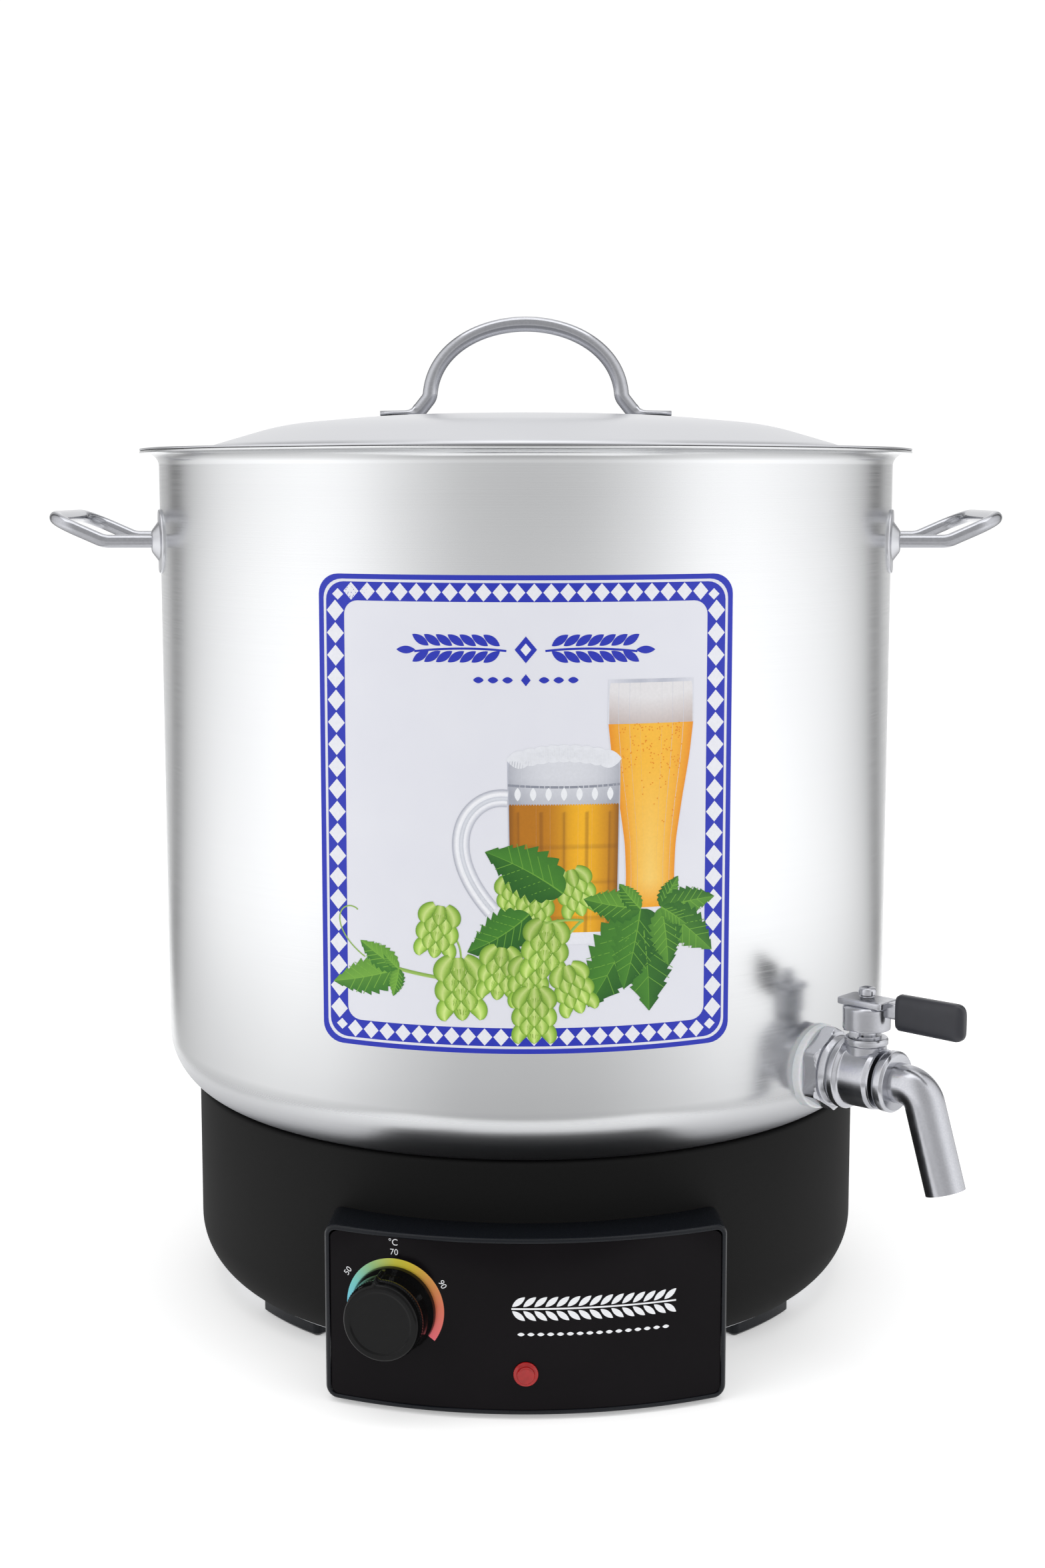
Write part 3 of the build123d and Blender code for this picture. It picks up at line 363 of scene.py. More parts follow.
# Buffed cast stainless: a soft grey mirror with the faint waviness that buffing leaves.
polished_cast, tree, shader = new_material("polished_cast", Metallic=1.0, Roughness=0.2)
waves = noise(tree, object_space(tree, (120, 120, 120)), 2.0)
specks = noise(tree, object_space(tree, (1500, 1500, 1500)), 2.0)
two_tones(tree, shader, specks, "#B2B3B9", "#C2C3C8")
tree.links.new(between(tree, waves, 0.16, 0.3), shader.inputs["Roughness"])
tree.links.new(bump(tree, waves, 0.25, 0.0004), shader.inputs["Normal"])

# Satin black moulded polypropylene: a very fine spark-eroded grain that greys the highlights.
black_moulding, tree, shader = new_material("black_moulding", Roughness=0.7, Specular_IOR_Level=0.07)
grain = noise(tree, object_space(tree, (2200, 2200, 2200)), 2.0)
two_tones(tree, shader, grain, "#1B1B1B", "#222222")
tree.links.new(between(tree, grain, 0.66, 0.76), shader.inputs["Roughness"])
tree.links.new(bump(tree, grain, 0.12, 0.00004), shader.inputs["Normal"])

# Blue-black ABS with a semi-gloss mould finish: smooth, with soft grey lights along its edges.
black_abs, tree, shader = new_material("black_abs", Roughness=0.3, Specular_IOR_Level=0.22)
grain = noise(tree, object_space(tree, (1400, 1400, 1400)), 2.0)
two_tones(tree, shader, grain, "#0E1116", "#14171D")
tree.links.new(between(tree, grain, 0.24, 0.34), shader.inputs["Roughness"])

# Gloss black printed polyester foil: almost a mirror, faintly warm where it is bare.
gloss_foil, tree, shader = new_material("gloss_foil", Roughness=0.14, Specular_IOR_Level=0.07)
clouds = noise(tree, object_space(tree, (25, 25, 25)), 2.0)
two_tones(tree, shader, clouds, "#0B090B", "#131013")

# Gloss black phenolic knob moulding: polished, with tiny sparkle in its tool marks.
knob_plastic, tree, shader = new_material("knob_plastic", Roughness=0.16, Specular_IOR_Level=0.16)
grain = noise(tree, object_space(tree, (900, 900, 900)), 2.0)
two_tones(tree, shader, grain, "#060606", "#0D0D0E")
tree.links.new(between(tree, grain, 0.1, 0.22), shader.inputs["Roughness"])

# Milky silicone rubber: soft, faintly see-through, so light bleeds along its edge.
milky_silicone, tree, shader = new_material(
    "milky_silicone", Roughness=0.42, Subsurface_Weight=0.3, Subsurface_Scale=0.002
)
grain = noise(tree, object_space(tree, (700, 700, 700)), 2.0)
two_tones(tree, shader, grain, "#DDE0E3", "#EEF0F2")

# Dip-moulded black vinyl: a thick soft skin with a rounded satin shine.
dipped_vinyl, tree, shader = new_material("dipped_vinyl", Roughness=0.34, Specular_IOR_Level=0.45)
ripple = noise(tree, object_space(tree, (160, 160, 160)), 2.0)
two_tones(tree, shader, ripple, "#26272D", "#303138")
tree.links.new(bump(tree, ripple, 0.12, 0.0003), shader.inputs["Normal"])

# Clear red polycarbonate over a neon lamp: deep red, with a faint glow of the lamp behind it.
red_lens, tree, shader = new_material(
    "red_lens", Roughness=0.08, Transmission_Weight=0.25, Emission_Strength=0.04
)
shader.inputs["Emission Color"].default_value = linear("#FF1208")
facets = noise(tree, object_space(tree, (420, 420, 420)), 1.0)
two_tones(tree, shader, facets, "#8A0A0D", "#C21A1A")


def plain_finish(name, first, second, scale, rough, metal=0.0):
    """Finish for pieces mostly out of sight: two close tones by fine noise, and its roughness."""
    made, tree, shader = new_material(name, Metallic=metal, Roughness=rough)
    grain = noise(tree, object_space(tree, (scale, scale, scale)), 3.0)
    two_tones(tree, shader, grain, first, second)
    tree.links.new(between(tree, grain, rough * 0.85, rough * 1.15), shader.inputs["Roughness"])
    return made


plain_finish("zinc_steel", "#A9ACB0", "#C6C9CC", 500, 0.38, 1.0)  # dull plated steel
plain_finish("cast_aluminium", "#B4B6B8", "#C8CACC", 300, 0.45, 1.0)  # matt casting
plain_finish("heater_sheath", "#55504B", "#77726C", 250, 0.5, 1.0)  # heat-tinted tube
plain_finish("pale_nylon", "#C9C4B8", "#D8D4CA", 400, 0.5)  # ivory moulding
plain_finish("copper_tube", "#A8623E", "#C47B52", 300, 0.35, 1.0)  # soft drawn copper
plain_finish("white_ptfe", "#E8E8E4", "#F4F4F0", 500, 0.4)  # waxy white seal
plain_finish("lamp_glass", "#D8A27C", "#E8B48C", 300, 0.2)  # glowing glass bulb

node_materials = {
    "zinc_steel": "bottom_pan pan_screws box_screws clamp_stud clamp_nut element_clamp"
    " thermostat_shaft thermal_cutout thermostat_nut",
    "cast_aluminium": "heat_plate",
    "heater_sheath": "heating_element",
    "pale_nylon": "terminal_block thermostat_body",
    "copper_tube": "thermostat_sensor",
    "white_ptfe": "ball_seat_inner ball_seat_outer stem_packing",
    "milky_silicone": "tap_inner_gasket",
    "polished_cast": "tap_inner_nut tap_stem tap_ball stem_gland_nut",
    "black_abs": "cord_gland gland_nut foot_front_left foot_front_right foot_rear_left foot_rear_right",
    "lamp_glass": "indicator_lamp",
}
for finish, names in node_materials.items():
    for node in names.split():
        node_mesh = frame["nodes"][node].data
        node_mesh.materials.clear()
        node_mesh.materials.append(bpy.data.materials[finish])

# ---------------------------------------------------------------- pot, lid and base


def pot_profile():
    """Closed section of the pot: outside from floor to lip, then back down the inside."""
    outside = rounded(
        [
            (0, pot_floor_z),
            (pot_r, pot_floor_z),
            (pot_r, rim_z - pot_wall),
            (lip_r - 0.3, rim_z - pot_wall),
        ],
        (pot_corner_r, lip_flare_r),
        3.0,
    )
    inside = rounded(
        [
            (lip_r - 0.3, rim_z),
            (pot_r - pot_wall, rim_z),
            (pot_r - pot_wall, pot_floor_z + pot_wall),
            (0, pot_floor_z + pot_wall),
        ],
        (lip_flare_r + pot_wall, pot_corner_r - pot_wall),
        3.0,
    )
    lip = [
        (lip_r - 0.05, rim_z - pot_wall * 0.75),
        (lip_r, rim_z - pot_wall / 2),
        (lip_r - 0.05, rim_z - pot_wall * 0.25),
    ]
    return spread(np.vstack((outside, lip, inside)), 12.0)


put(
    "pot", [turned(pot_profile(), 256)], "kettle", brushed_stainless, ["pot_shell"]
)

lid_t = 0.8
lid_rim_z = rim_z + 0.3 + lid_t
lid_top_z = lid_high[2]
bead_r = 172.4
bead_z = lid_low[2] + lid_t


def lid_profile(drop):
    """Top line of the pressed lid, from rim to centre, lowered and pulled in by drop."""
    return rounded(
        [
            (lip_r - 0.2, lid_rim_z - drop),
            (bead_r + 1.9 - drop * 0.6, lid_rim_z - drop),
            (bead_r - drop * 0.8, bead_z - drop),
            (bead_r - 8.4 + drop * 0.4, bead_z - drop),
            (bead_r - 21.9 + drop * 0.4, lid_rim_z + 1.9 - drop),
            (bead_r - 54.4, lid_top_z - 4.8 - drop),
            (bead_r - 106.4, lid_top_z - drop),
            (0, lid_top_z - drop),
        ],
        (1.6, 2.0, 3.0, 14.0, 120.0, 400.0),
        2.0,
    )


lid_edge = [(lip_r, lid_rim_z - lid_t / 2)]
lid_section = np.vstack((lid_profile(lid_t)[::-1], lid_edge, lid_profile(0.0)))
put(
    "lid_sheet",
    [turned(spread(lid_section, 10.0), 256)],
    "lid",
    pressed_stainless,
    ["lid"],
)


def base_profile():
    """Closed section of the housing: big lower corner, straight wall, rounded rim, hollow inside."""
    corner_top = base_low_z + base_corner_tall
    middle = base_r - base_corner_r
    low_turn = math.asin((corner_top - base_low_z) / base_corner_r)
    turns = np.linspace(-low_turn, 0, 16)
    arc = np.stack((np.cos(turns), np.sin(turns)), 1)
    outside = np.array((middle, corner_top)) + base_corner_r * arc
    inner_r = base_corner_r - base_wall
    low_inner = math.asin((corner_top - base_low_z - base_wall) / inner_r)
    turns = np.linspace(0, -low_inner, 10)
    arc = np.stack((np.cos(turns), np.sin(turns)), 1)
    inside = np.array((middle, corner_top)) + inner_r * arc
    seat_r = pot_r - pot_corner_r + math.sqrt(
        pot_corner_r**2 - (pot_floor_z + pot_corner_r - base_rim_z) ** 2
    )
    rim = rounded(
        [
            (base_r, base_rim_z - 4),
            (base_r, base_rim_z),
            (seat_r + 0.4, base_rim_z),
            (pot_r - pot_corner_r, pot_floor_z - 0.3),
            (pot_r - pot_corner_r, base_rim_z - 6),
            (base_r - base_wall, base_rim_z - 6),
            (base_r - base_wall, base_rim_z - 12),
        ],
        (1.5, 0.3, 0, 0, 0),
        12.0,
    )
    floor = [(base_floor_hole_r, base_low_z + base_wall), (base_floor_hole_r, base_low_z)]
    return spread(np.vstack((outside, rim, inside, floor, outside[:1])), 14.0)


put(
    "base_skirt", [turned(base_profile(), 256)], "kettle", black_moulding, ["base_housing"]
)

# ---------------------------------------------------------------- label

label_film_t = 0.04
label_half = label_high[0]
label_mid_z = (label_low[2] + label_high[2]) / 2
label_tall = (label_high[2] - label_low[2]) / 2
label_corner = 8.5


def on_label(points, lift):
    """Flat figure (across, up) from the label's middle, seen from the front, laid on the wall."""
    x, up = points[..., 0], points[..., 1]
    out = pot_r + label_film_t + lift
    return np.stack((x, -np.sqrt(out**2 - x**2), label_mid_z + up), -1)


def label_film():
    """The label's sheet: rounded outline rings shrinking to its upright middle line, plus an edge
    ring down on the wall."""
    outline = rounded_loop(-label_half, label_half, -label_tall, label_tall, label_corner, 10, 60)
    grid = [on_label(outline, -label_film_t + 0.02)]
    for k in range(41):
        shrunk = outline * np.array((1 - k / 40, 1.0))
        grid.append(on_label(shrunk, 0.0))
    return np.array(grid).transpose(1, 0, 2)


# Printed vinyl label: cool white satin film; its inks are painted point by point.
label_print, tree, shader = new_material("label_print", Roughness=0.42, Specular_IOR_Level=0.35)
ink = add(tree, "ShaderNodeAttribute", attribute_name="ink").outputs["Color"]
speckle = noise(tree, object_space(tree, (900, 900, 900)), 2.0)
shade = between(tree, speckle, 0.93, 1.05)
tinted = add(tree, "ShaderNodeVectorMath", {0: ink, 1: shade}, operation="MULTIPLY").outputs[0]
tree.links.new(tinted, shader.inputs["Base Color"])

label_white, tree, shader = new_material("label_white", Roughness=0.4, Specular_IOR_Level=0.35)
tone = noise(tree, object_space(tree, (40, 40, 40)), 2.0)
two_tones(tree, shader, tone, "#E0E1EA", "#E6E7EE")
put("label_film", [label_film()], "kettle", label_white, ["pot_label"], closed=False)

art = []
rise = 0.0


def ink_of(*codes):
    """Linear colours for a list of hex codes."""
    return np.array([linear(code)[:3] for code in codes])


def lay(figure, colours):
    """Keep one printed figure (rows, columns, across and up) with its colours. A figure of four
    corners is filled with a finer grid, so that it can follow the wall."""
    if figure.shape[:2] == (2, 2):
        s = np.linspace(0, 1, 7)[:, None, None]
        sides = figure[0] + (figure[1] - figure[0]) * s
        figure = sides[:, :1] + (sides[:, 1:] - sides[:, :1]) * s[:, 0][None]
    colours = np.broadcast_to(colours, (*figure.shape[:2], 3))
    art.append((figure + np.array((0.0, rise)), colours))


def band(line, left, right, columns, colours):
    """Strip along a line: at each point it reaches left and right of the line by two widths.
    Colours run across it, from its left edge to its right one."""
    along = np.gradient(line, axis=0)
    along /= np.linalg.norm(along, axis=1)[:, None] + 1e-9
    normal = np.stack((-along[:, 1], along[:, 0]), 1)
    share = np.linspace(0, 1, columns)
    reach = np.asarray(left)[..., None] * (1 - share) - np.asarray(right)[..., None] * share
    figure = line[:, None] + np.broadcast_to(reach, (len(line), columns))[..., None] * normal[:, None]
    stops = np.linspace(0, 1, len(colours))
    tint = np.stack([np.interp(share, stops, colours[:, c]) for c in range(3)], -1)
    lay(figure, tint[None])


def bend(points, count=40):
    """Smooth curve through control points by Bezier's formula: sum of binomial * t^k *
    (1 - t)^(n - k) * point k."""
    points = np.array(points, float)
    t = np.linspace(0, 1, count)[:, None]
    n = len(points) - 1
    return sum(math.comb(n, k) * t**k * (1 - t) ** (n - k) * p for k, p in enumerate(points))


def upright(middle, heights, halves, columns, colours, count=40):
    """Glass-like figure: half width over height by smooth steps between the given ones."""
    up = np.linspace(heights[0], heights[-1], count)
    half = np.interp(up, heights, halves)
    kernel = np.array((0.25, 0.5, 0.25))
    for _ in range(3):
        half[1:-1] = np.convolve(half, kernel, "same")[1:-1]
    share = np.linspace(-1, 1, columns)
    figure = np.stack((middle + half[:, None] * share, np.repeat(up[:, None], columns, 1)), -1)
    lay(figure, colours(share[None], up[:, None]))


def mix(a, b, t):
    """Straight mix of two colours by an array t."""
    return a + (b - a) * np.clip(t, 0, 1)[..., None]


BLUE = ink_of("#2331B4")[0]
WHITE = ink_of("#E9EAF1")[0]


def frame_ring(inset_a, inset_b, colour, radius=label_corner):
    """Ring between two insets of the label's outline."""
    loops = []
    for inset in (inset_a, inset_b):
        corner = max(radius - 0.25 * inset, 3.0)
        loops.append(
            rounded_loop(
                -label_half + inset, label_half - inset, -label_tall + inset, label_tall - inset,
                corner, 8, 80,
            )
        )
    figure = np.stack([loops[0] + (loops[1] - loops[0]) * s for s in np.linspace(0, 1, 8)], 1)
    lay(np.concatenate((figure, figure[:1])), colour)


frame_ring(0.0, 2.1, BLUE)
frame_ring(3.2, 11.0, BLUE)


def lozenges():
    """White rhombs in a row along each side of the frame's band."""
    band_inset, tip = 7.1, 3.7
    reach_x, reach_z = label_half - band_inset, label_tall - band_inset
    runs = (
        ((-reach_x, reach_z), (reach_x, reach_z), 6.9),
        ((-reach_x, -reach_z), (reach_x, -reach_z), 6.9),
        ((-reach_x, -reach_z), (-reach_x, reach_z), 9.2),
        ((reach_x, -reach_z), (reach_x, reach_z), 9.2),
    )
    for start, end, pitch in runs:
        start, end = np.array(start), np.array(end)
        length = np.linalg.norm(end - start)
        along = (end - start) / length
        across = np.array((-along[1], along[0]))
        usable = length - 7.0
        count = int(round(usable / pitch))
        pitch = usable / count
        for k in range(count):
            centre = start + along * (3.5 + (k + 0.5) * pitch)
            far, near_tip = centre + across * tip, centre - across * tip
            left, right = centre - along * pitch * 0.47, centre + along * pitch * 0.47
            lay(np.array([[left, far], [near_tip, right]]), WHITE)
        lay(square(start), WHITE)
        lay(square(end), WHITE)


def square(centre):
    """Small rhomb for a corner."""
    c = np.array(centre) * 0.985
    return np.array([[c + (-2.4, 0), c + (0, 2.4)], [c + (0, -2.4), c + (2.4, 0)]])


lozenges()
rise = 2.6

# A plain garland stands at the head of the label: two ears of grain and a rhomb between them.


def kernel(centre, length, width, turn, colour):
    """Pointed oval: half width is width / 2 * sin(pi s) ** 0.8, s being the share of its length."""
    a = math.radians(turn)
    way = np.array((math.cos(a), math.sin(a)))
    s = np.linspace(0, 1, 12)
    line = np.array(centre) + way * (s[:, None] - 0.5) * length
    half = width / 2 * np.sin(math.pi * s) ** 0.8
    band(line, half, half, 3, np.array([colour, colour]))


for side in (-1, 1):
    stalk = bend([(side * 8, 66.5), (side * 26, 68.5), (side * 46, 66.0)], 30)
    band(stalk, 0.45, 0.45, 2, np.array([BLUE, BLUE]))
    for k in range(7):
        x = side * (14 + 4.9 * k)
        for lean in (-1, 1):
            turn = lean * 34 if side > 0 else 180 - lean * 34
            kernel((x, 67.4 + lean * 3.4), 8.2, 3.4, turn, BLUE)
    kernel((side * 49.5, 66.6), 8.0, 3.2, 0, BLUE)
    for k in range(3):
        kernel((side * (7.5 + 6.0 * k), 54.5), 4.4, 2.6, 0, BLUE)
lay(np.array([[(-4.6, 67), (0, 72.5)], [(0, 61.5), (4.6, 67)]], float), BLUE)
lay(np.array([[(-2.2, 67), (0, 69.6)], [(0, 64.4), (2.2, 67)]], float), WHITE)
lay(np.array([[(-2.0, 54.5), (0, 57.0)], [(0, 52.0), (2.0, 54.5)]], float), BLUE)

# Tall glass of wheat beer, and a mug in front of it.
amber, gold, pale_gold, deep = ink_of("#F2A31C", "#F8BC3C", "#F9CF6E", "#E88C1C")
foam_top, foam_low, grey_glass = ink_of("#E4E2E4", "#C4B6B2", "#B9BCC9")
rng = np.random.default_rng(4)


def tall_beer(across, up):
    """Gold with a paler middle, deeper at its sides and at its foot."""
    body = mix(gold, pale_gold, (20 - up) / 50 * (1 - np.abs(across)))
    body = mix(body, deep, np.abs(across) ** 3 * 0.9 + 0 * up)
    return mix(body, amber, np.clip((-30 - up) / 12, 0, 1) + 0 * across)


def tall_glass(across, up):
    """Grey towards the middle and the edges of the glass, white between them."""
    return mix(grey_glass, WHITE, np.abs(np.abs(across) - 0.3) + 0 * up)


def tall_foam(across, up):
    """Foam that pales upwards and towards its middle."""
    return mix(foam_low, foam_top, (up - 37) / 13 + 0.25 * (1 - across**2))


tall_heights = (-41.5, -38, -28, -14, 4, 22, 36, 54.5)
tall_halves = (10.4, 10.6, 10.2, 10.8, 13.4, 16.4, 17.9, 17.6)
glass_x, glass_wall = 52.0, 0.45
upright(glass_x, tall_heights, [half + glass_wall for half in tall_halves], 9, tall_glass)
upright(glass_x, tall_heights[:-1], tall_halves[:-1], 25, tall_beer)
upright(glass_x, (36.0, 38.0, 51.0, 53.0), (17.6, 17.6, 17.5, 17.0), 25, tall_foam)
for _ in range(150):
    x, u = rng.uniform(-14, 14), 36 - abs(rng.normal(0, 14))
    kernel((glass_x + x * (0.75 + 0.25 * np.clip(u / 30, -1, 1)), max(u, -20)), 0.6, 0.6, 0, deep)

mug_x, mug_top, mug_low = 15.8, 21.5, -56.0
handle = bend([(-7.5, 5.5), (-22, 7.5), (-33.5, -8), (-29, -25), (-14, -42)], 50)
handle_tints = ink_of("#B4B7C4", "#F2F3F8", "#E3E5EC", "#F5F6FA", "#A9ACBA")
band(handle, 3.6, 3.6, 9, handle_tints)
band(handle, 1.1, 0.7, 5, ink_of("#C9CCD6", "#DDE0E7", "#CBCED8"))


def mug_beer(across, up):
    """Amber with darker facet lines and a bright middle."""
    dark, bright, brown = ink_of("#B87412", "#F4B41E", "#7A4A14")
    body = mix(dark, bright, np.exp(-(((across - 0.35) / 0.42) ** 2)) + 0 * up)
    facets = np.clip(np.cos(across * 15) * 6 - 5.0, 0, 1) * (up < 0)
    body = mix(body, brown, facets * 0.55)
    body = mix(body, brown, np.clip((np.abs(across) - 0.86) / 0.14, 0, 1) * 0.8 + 0 * up)
    return mix(body, brown, np.clip(np.cos(up * 0.42) * 8 - 7.2, 0, 1) * 0.4 * (up < -5) + 0 * across)


def mug_foam(across, up):
    """Cool grey foam, greyer at its sides and towards the rim line."""
    light, dull = ink_of("#D9DBE2", "#A4A7B2")
    return mix(light, dull, 0.8 * np.abs(across) ** 3 + 0.5 * np.clip((14 - up) / 12, 0, 1))


def mug_glass(across, up):
    """White glass that greys towards its edges."""
    return mix(grey_glass, WHITE, 1 - np.abs(across) ** 4 + 0 * up)


mug_heights = (mug_low, mug_low + 5, mug_top - 10, mug_top)
upright(mug_x, mug_heights, (21.5, 22.5, 23.4, 23.4), 9, mug_glass)
upright(mug_x, (mug_low + 5, -40, 2.0, 3.0), (21.4, 22.2, 22.8, 22.8), 61, mug_beer, 60)
upright(mug_x, (2.6, 6, 18, 21), (22.8, 22.9, 23.0, 22.4), 41, mug_foam, 30)
for k in range(9):
    kernel((mug_x + (k - 4) * 4.6, 24.2 - 0.16 * (k - 4) ** 2), 11, 7.5, 0, ink_of("#E6E8EE")[0])
mug_ring = bend([(-7.4, 11), (15.8, 9.2), (39, 11)], 24)
band(mug_ring, 0.5, 0.5, 2, ink_of("#8E929E", "#8E929E"))
for k in range(-3, 4):
    kernel((mug_x + k * 6.4, 7.2), 5.6, 2.6, 90, ink_of("#EEF0F4")[0])

# Hop vine with leaves and cones.
leaf_dark, leaf_mid, leaf_light = ink_of("#1E5A1C", "#3C7F26", "#7DB440")
cone_dark, cone_mid, cone_light = ink_of("#6E9E2E", "#A2CB4C", "#D3E78E")
vine_green = ink_of("#7FA844", "#A6C868")


def leaf(base, tip, width, sag=0.0, tone=0.0):
    """Serrated leaf: half width is a skewed sine of the way along its midrib, with saw teeth;
    one half is lighter than the other, and pale veins run out from the midrib."""
    base, tip = np.array(base, float), np.array(tip, float)
    side = np.array((-(tip - base)[1], (tip - base)[0]))
    line = bend([base, (base + tip) / 2 + side * sag, tip], 61)
    s = np.linspace(0, 1, 61)
    teeth = 1 - 0.26 * ((s * 8) % 1)
    half = width / 2 * np.sin(math.pi * s**0.72) ** 0.85 * teeth
    dark = mix(leaf_dark, leaf_mid, np.array(tone))
    light = mix(leaf_mid, leaf_light, np.array(tone))
    band(line, half, half * 0, 5, np.array([dark, mix(dark, light, np.array(0.35))]))
    band(line, half * 0, half, 5, np.array([light, mix(dark, light, np.array(0.6))]))
    vein = mix(light, leaf_light, np.array(0.6))
    band(line, 0.28 * (1.1 - s), 0.28 * (1.1 - s), 2, np.array([vein, vein]))
    along = (tip - base) / np.linalg.norm(tip - base)
    across = np.array((-along[1], along[0]))
    for k in range(1, 6):
        root = line[8 * k]
        for way in (-1, 1):
            reach = half[min(8 * k + 6, 60)] * 0.85
            end = root + (across * way + along * 0.9) * reach
            rib = bend([root, end], 6)
            band(rib, 0.14, 0.14, 2, np.array([vein, vein]))


def lobed(base, tips, width, tone):
    """Hop leaf of several lobes from one base."""
    for tip in tips:
        leaf(base, tip, width * np.linalg.norm(np.subtract(tip, base)), 0.04, tone)


def hop(centre, size, turn=0.0):
    """Hop cone: rows of overlapping bracts, from the tip up to the stem, each a pointed oval
    darker on its edge and pale in its middle."""
    a = math.radians(turn)
    down = np.array((math.sin(a), -math.cos(a)))
    across = np.array((down[1], -down[0]))
    middle = np.array(centre)
    spine = bend([middle - down * size * 0.5, middle + down * size * 0.5], 20)
    s = np.linspace(0, 1, 20)
    egg = size * 0.36 * np.sin(math.pi * s**0.75) ** 0.7
    band(spine, egg, egg, 9, np.array((cone_dark, cone_mid, cone_dark)) * 0.86)
    for row in range(4, -1, -1):
        count = 2 if row % 2 else 3
        for k in range(count):
            place = k - (count - 1) / 2
            root = middle + down * size * (row * 0.17 - 0.52) + across * place * size * 0.12
            tip = root + down * size * 0.40 + across * place * size * 0.17
            bow = (root + tip) / 2 + across * place * size * 0.16
            line = bend([root, bow, tip], 14)
            s = np.linspace(0, 1, 14)
            wide = size * 0.15 * np.sin(math.pi * np.clip(0.1 + 0.9 * s, 0, 1)) ** 0.6
            tint = np.array((cone_dark, cone_mid, cone_light, cone_mid, cone_dark))
            band(line, wide, wide, 7, tint * (0.86 + 0.16 * row / 4 + 0.04 * rng.normal()))


def stem(points, half=0.55):
    """Green stem with a lighter side."""
    line = bend(points, 30)
    band(line, np.full(30, half), np.full(30, half), 3, vine_green)


stem([(-53.5, -68), (-40, -71), (-20, -73), (-4, -71.5)], 0.75)
stem([(-4, -71.5), (12, -62), (20, -47), (24, -46)], 0.6)
stem([(-27, -70), (-27, -60), (-26, -52), (-37, -50)], 0.4)
stem([(-68, -64), (-80, -56), (-84, -44), (-75, -40), (-71, -44)], 0.28)
hop((-5, -36), 17, 10)
hop((4, -39), 19, -10)
hop((21, -34), 19, 15)
lobed((-53.5, -68), [(-82, -76), (-70, -57), (-56, -80), (-60, -62)], 0.58, 0.75)
leaf((15.5, -34.5), (-17, -17), 24, -0.08, 0.1)
leaf((1.5, -43), (-24.5, -59.5), 21, 0.1, 0.05)
lobed((48, -42), [(26, -83), (52, -86), (41, -76)], 0.6, 0.1)
lobed((48, -42), [(24, -37), (39, -31)], 0.62, 0.45)
lobed((57, -42), [(64, -29), (80, -39), (79, -62), (60, -67), (68, -50)], 0.6, 0.35)
for centre, size, turn in (
    ((-37, -51), 21, -8), ((-27.5, -75), 25, 4), ((-11, -68), 21, -6), ((1, -72), 20, 0),
    ((8, -58), 23, -5), ((20, -75), 20, 18), ((3.5, -86), 22, 0),
):
    hop(centre, size, turn)
stem([(8, -47), (16, -45), (24, -46)], 0.5)

# Each figure lies a hair above the ones before it.
label_figures = [
    (on_label(figure, 0.03 + 0.15 * k / len(art)), False, False) for k, (figure, _) in enumerate(art)
]
label_art = put(
    "label_art", label_figures, "kettle", label_print, closed=False, merge=False
)
inks = np.concatenate([colours.reshape(-1, 3) for _, colours in art])
ink_layer = label_art.data.attributes.new("ink", "FLOAT_COLOR", "POINT")
ink_layer.data.foreach_set("color", np.hstack((inks, np.ones((len(inks), 1)))).ravel())

# ---------------------------------------------------------------- handles

rod_r = 3.1
grip_x = corners("side_handle_right")[1][0] - rod_r
grip_z = corners("side_handle_right")[1][2] - rod_r
root_z = corners("side_handle_right")[0][2] + rod_r
grip_half = corners("side_handle_right")[1][1] - rod_r
knee_x = grip_x - 25.0
lug_r, lug_t, lug_boss_r, lug_boss_h = 15.0, 1.2, 8.0, 4.6


def side_handle(side, name):
    """Rod of constant section along a bent path: out of the wall, up, and across."""
    root_x = pot_r - 6
    path = rounded(
        [
            (side * root_x, -grip_half, root_z),
            (side * knee_x, -grip_half, root_z),
            (side * grip_x, -grip_half, grip_z),
            (side * grip_x, grip_half, grip_z),
            (side * knee_x, grip_half, root_z),
            (side * root_x, grip_half, root_z),
        ],
        (12, 14, 14, 12),
        4.0,
    )
    put(
        f"side_rod_{name}",
        [tube(spread(path, 6.0), rod_r, 40)],
        "kettle",
        drawn_rod,
        [f"side_handle_{name}"],
    )
    lugs = [lug(side * 90 + turn) for turn in (-lug_angle, lug_angle)]
    replaced = [f"side_handle_lugs_{name}"]
    put(f"side_lugs_{name}", lugs, "kettle", pressed_stainless, replaced)


lug_angle = math.degrees(math.asin(grip_half / pot_r))


def lug(angle):
    """Pressed lug laid on the wall: height over the wall is a rim step, a flat flange and a
    rounded boss, all functions of the distance from its centre; the wall's own curve is added."""
    outward, sideways = around(angle)
    section = rounded(
        [
            (lug_r, -0.6),
            (lug_r, lug_t),
            (lug_boss_r + 1.5, lug_t),
            (lug_boss_r - 3.2, lug_boss_h),
            (0, lug_boss_h),
        ],
        (0.7, 2.0, 2.6),
        10.0,
    )
    section = np.vstack(((0, -0.6), section))
    t = np.arange(48) * TAU / 48
    r, h = section[:, 0][None], section[:, 1][None]
    across, up = r * np.cos(t)[:, None], r * np.sin(t)[:, None]
    wall = np.sqrt(pot_r**2 - across**2) - pot_r
    out = pot_r + wall + h
    return out[..., None] * outward + across[..., None] * sideways + (root_z + up)[..., None] * UP


side_handle(-1, "left")
side_handle(1, "right")

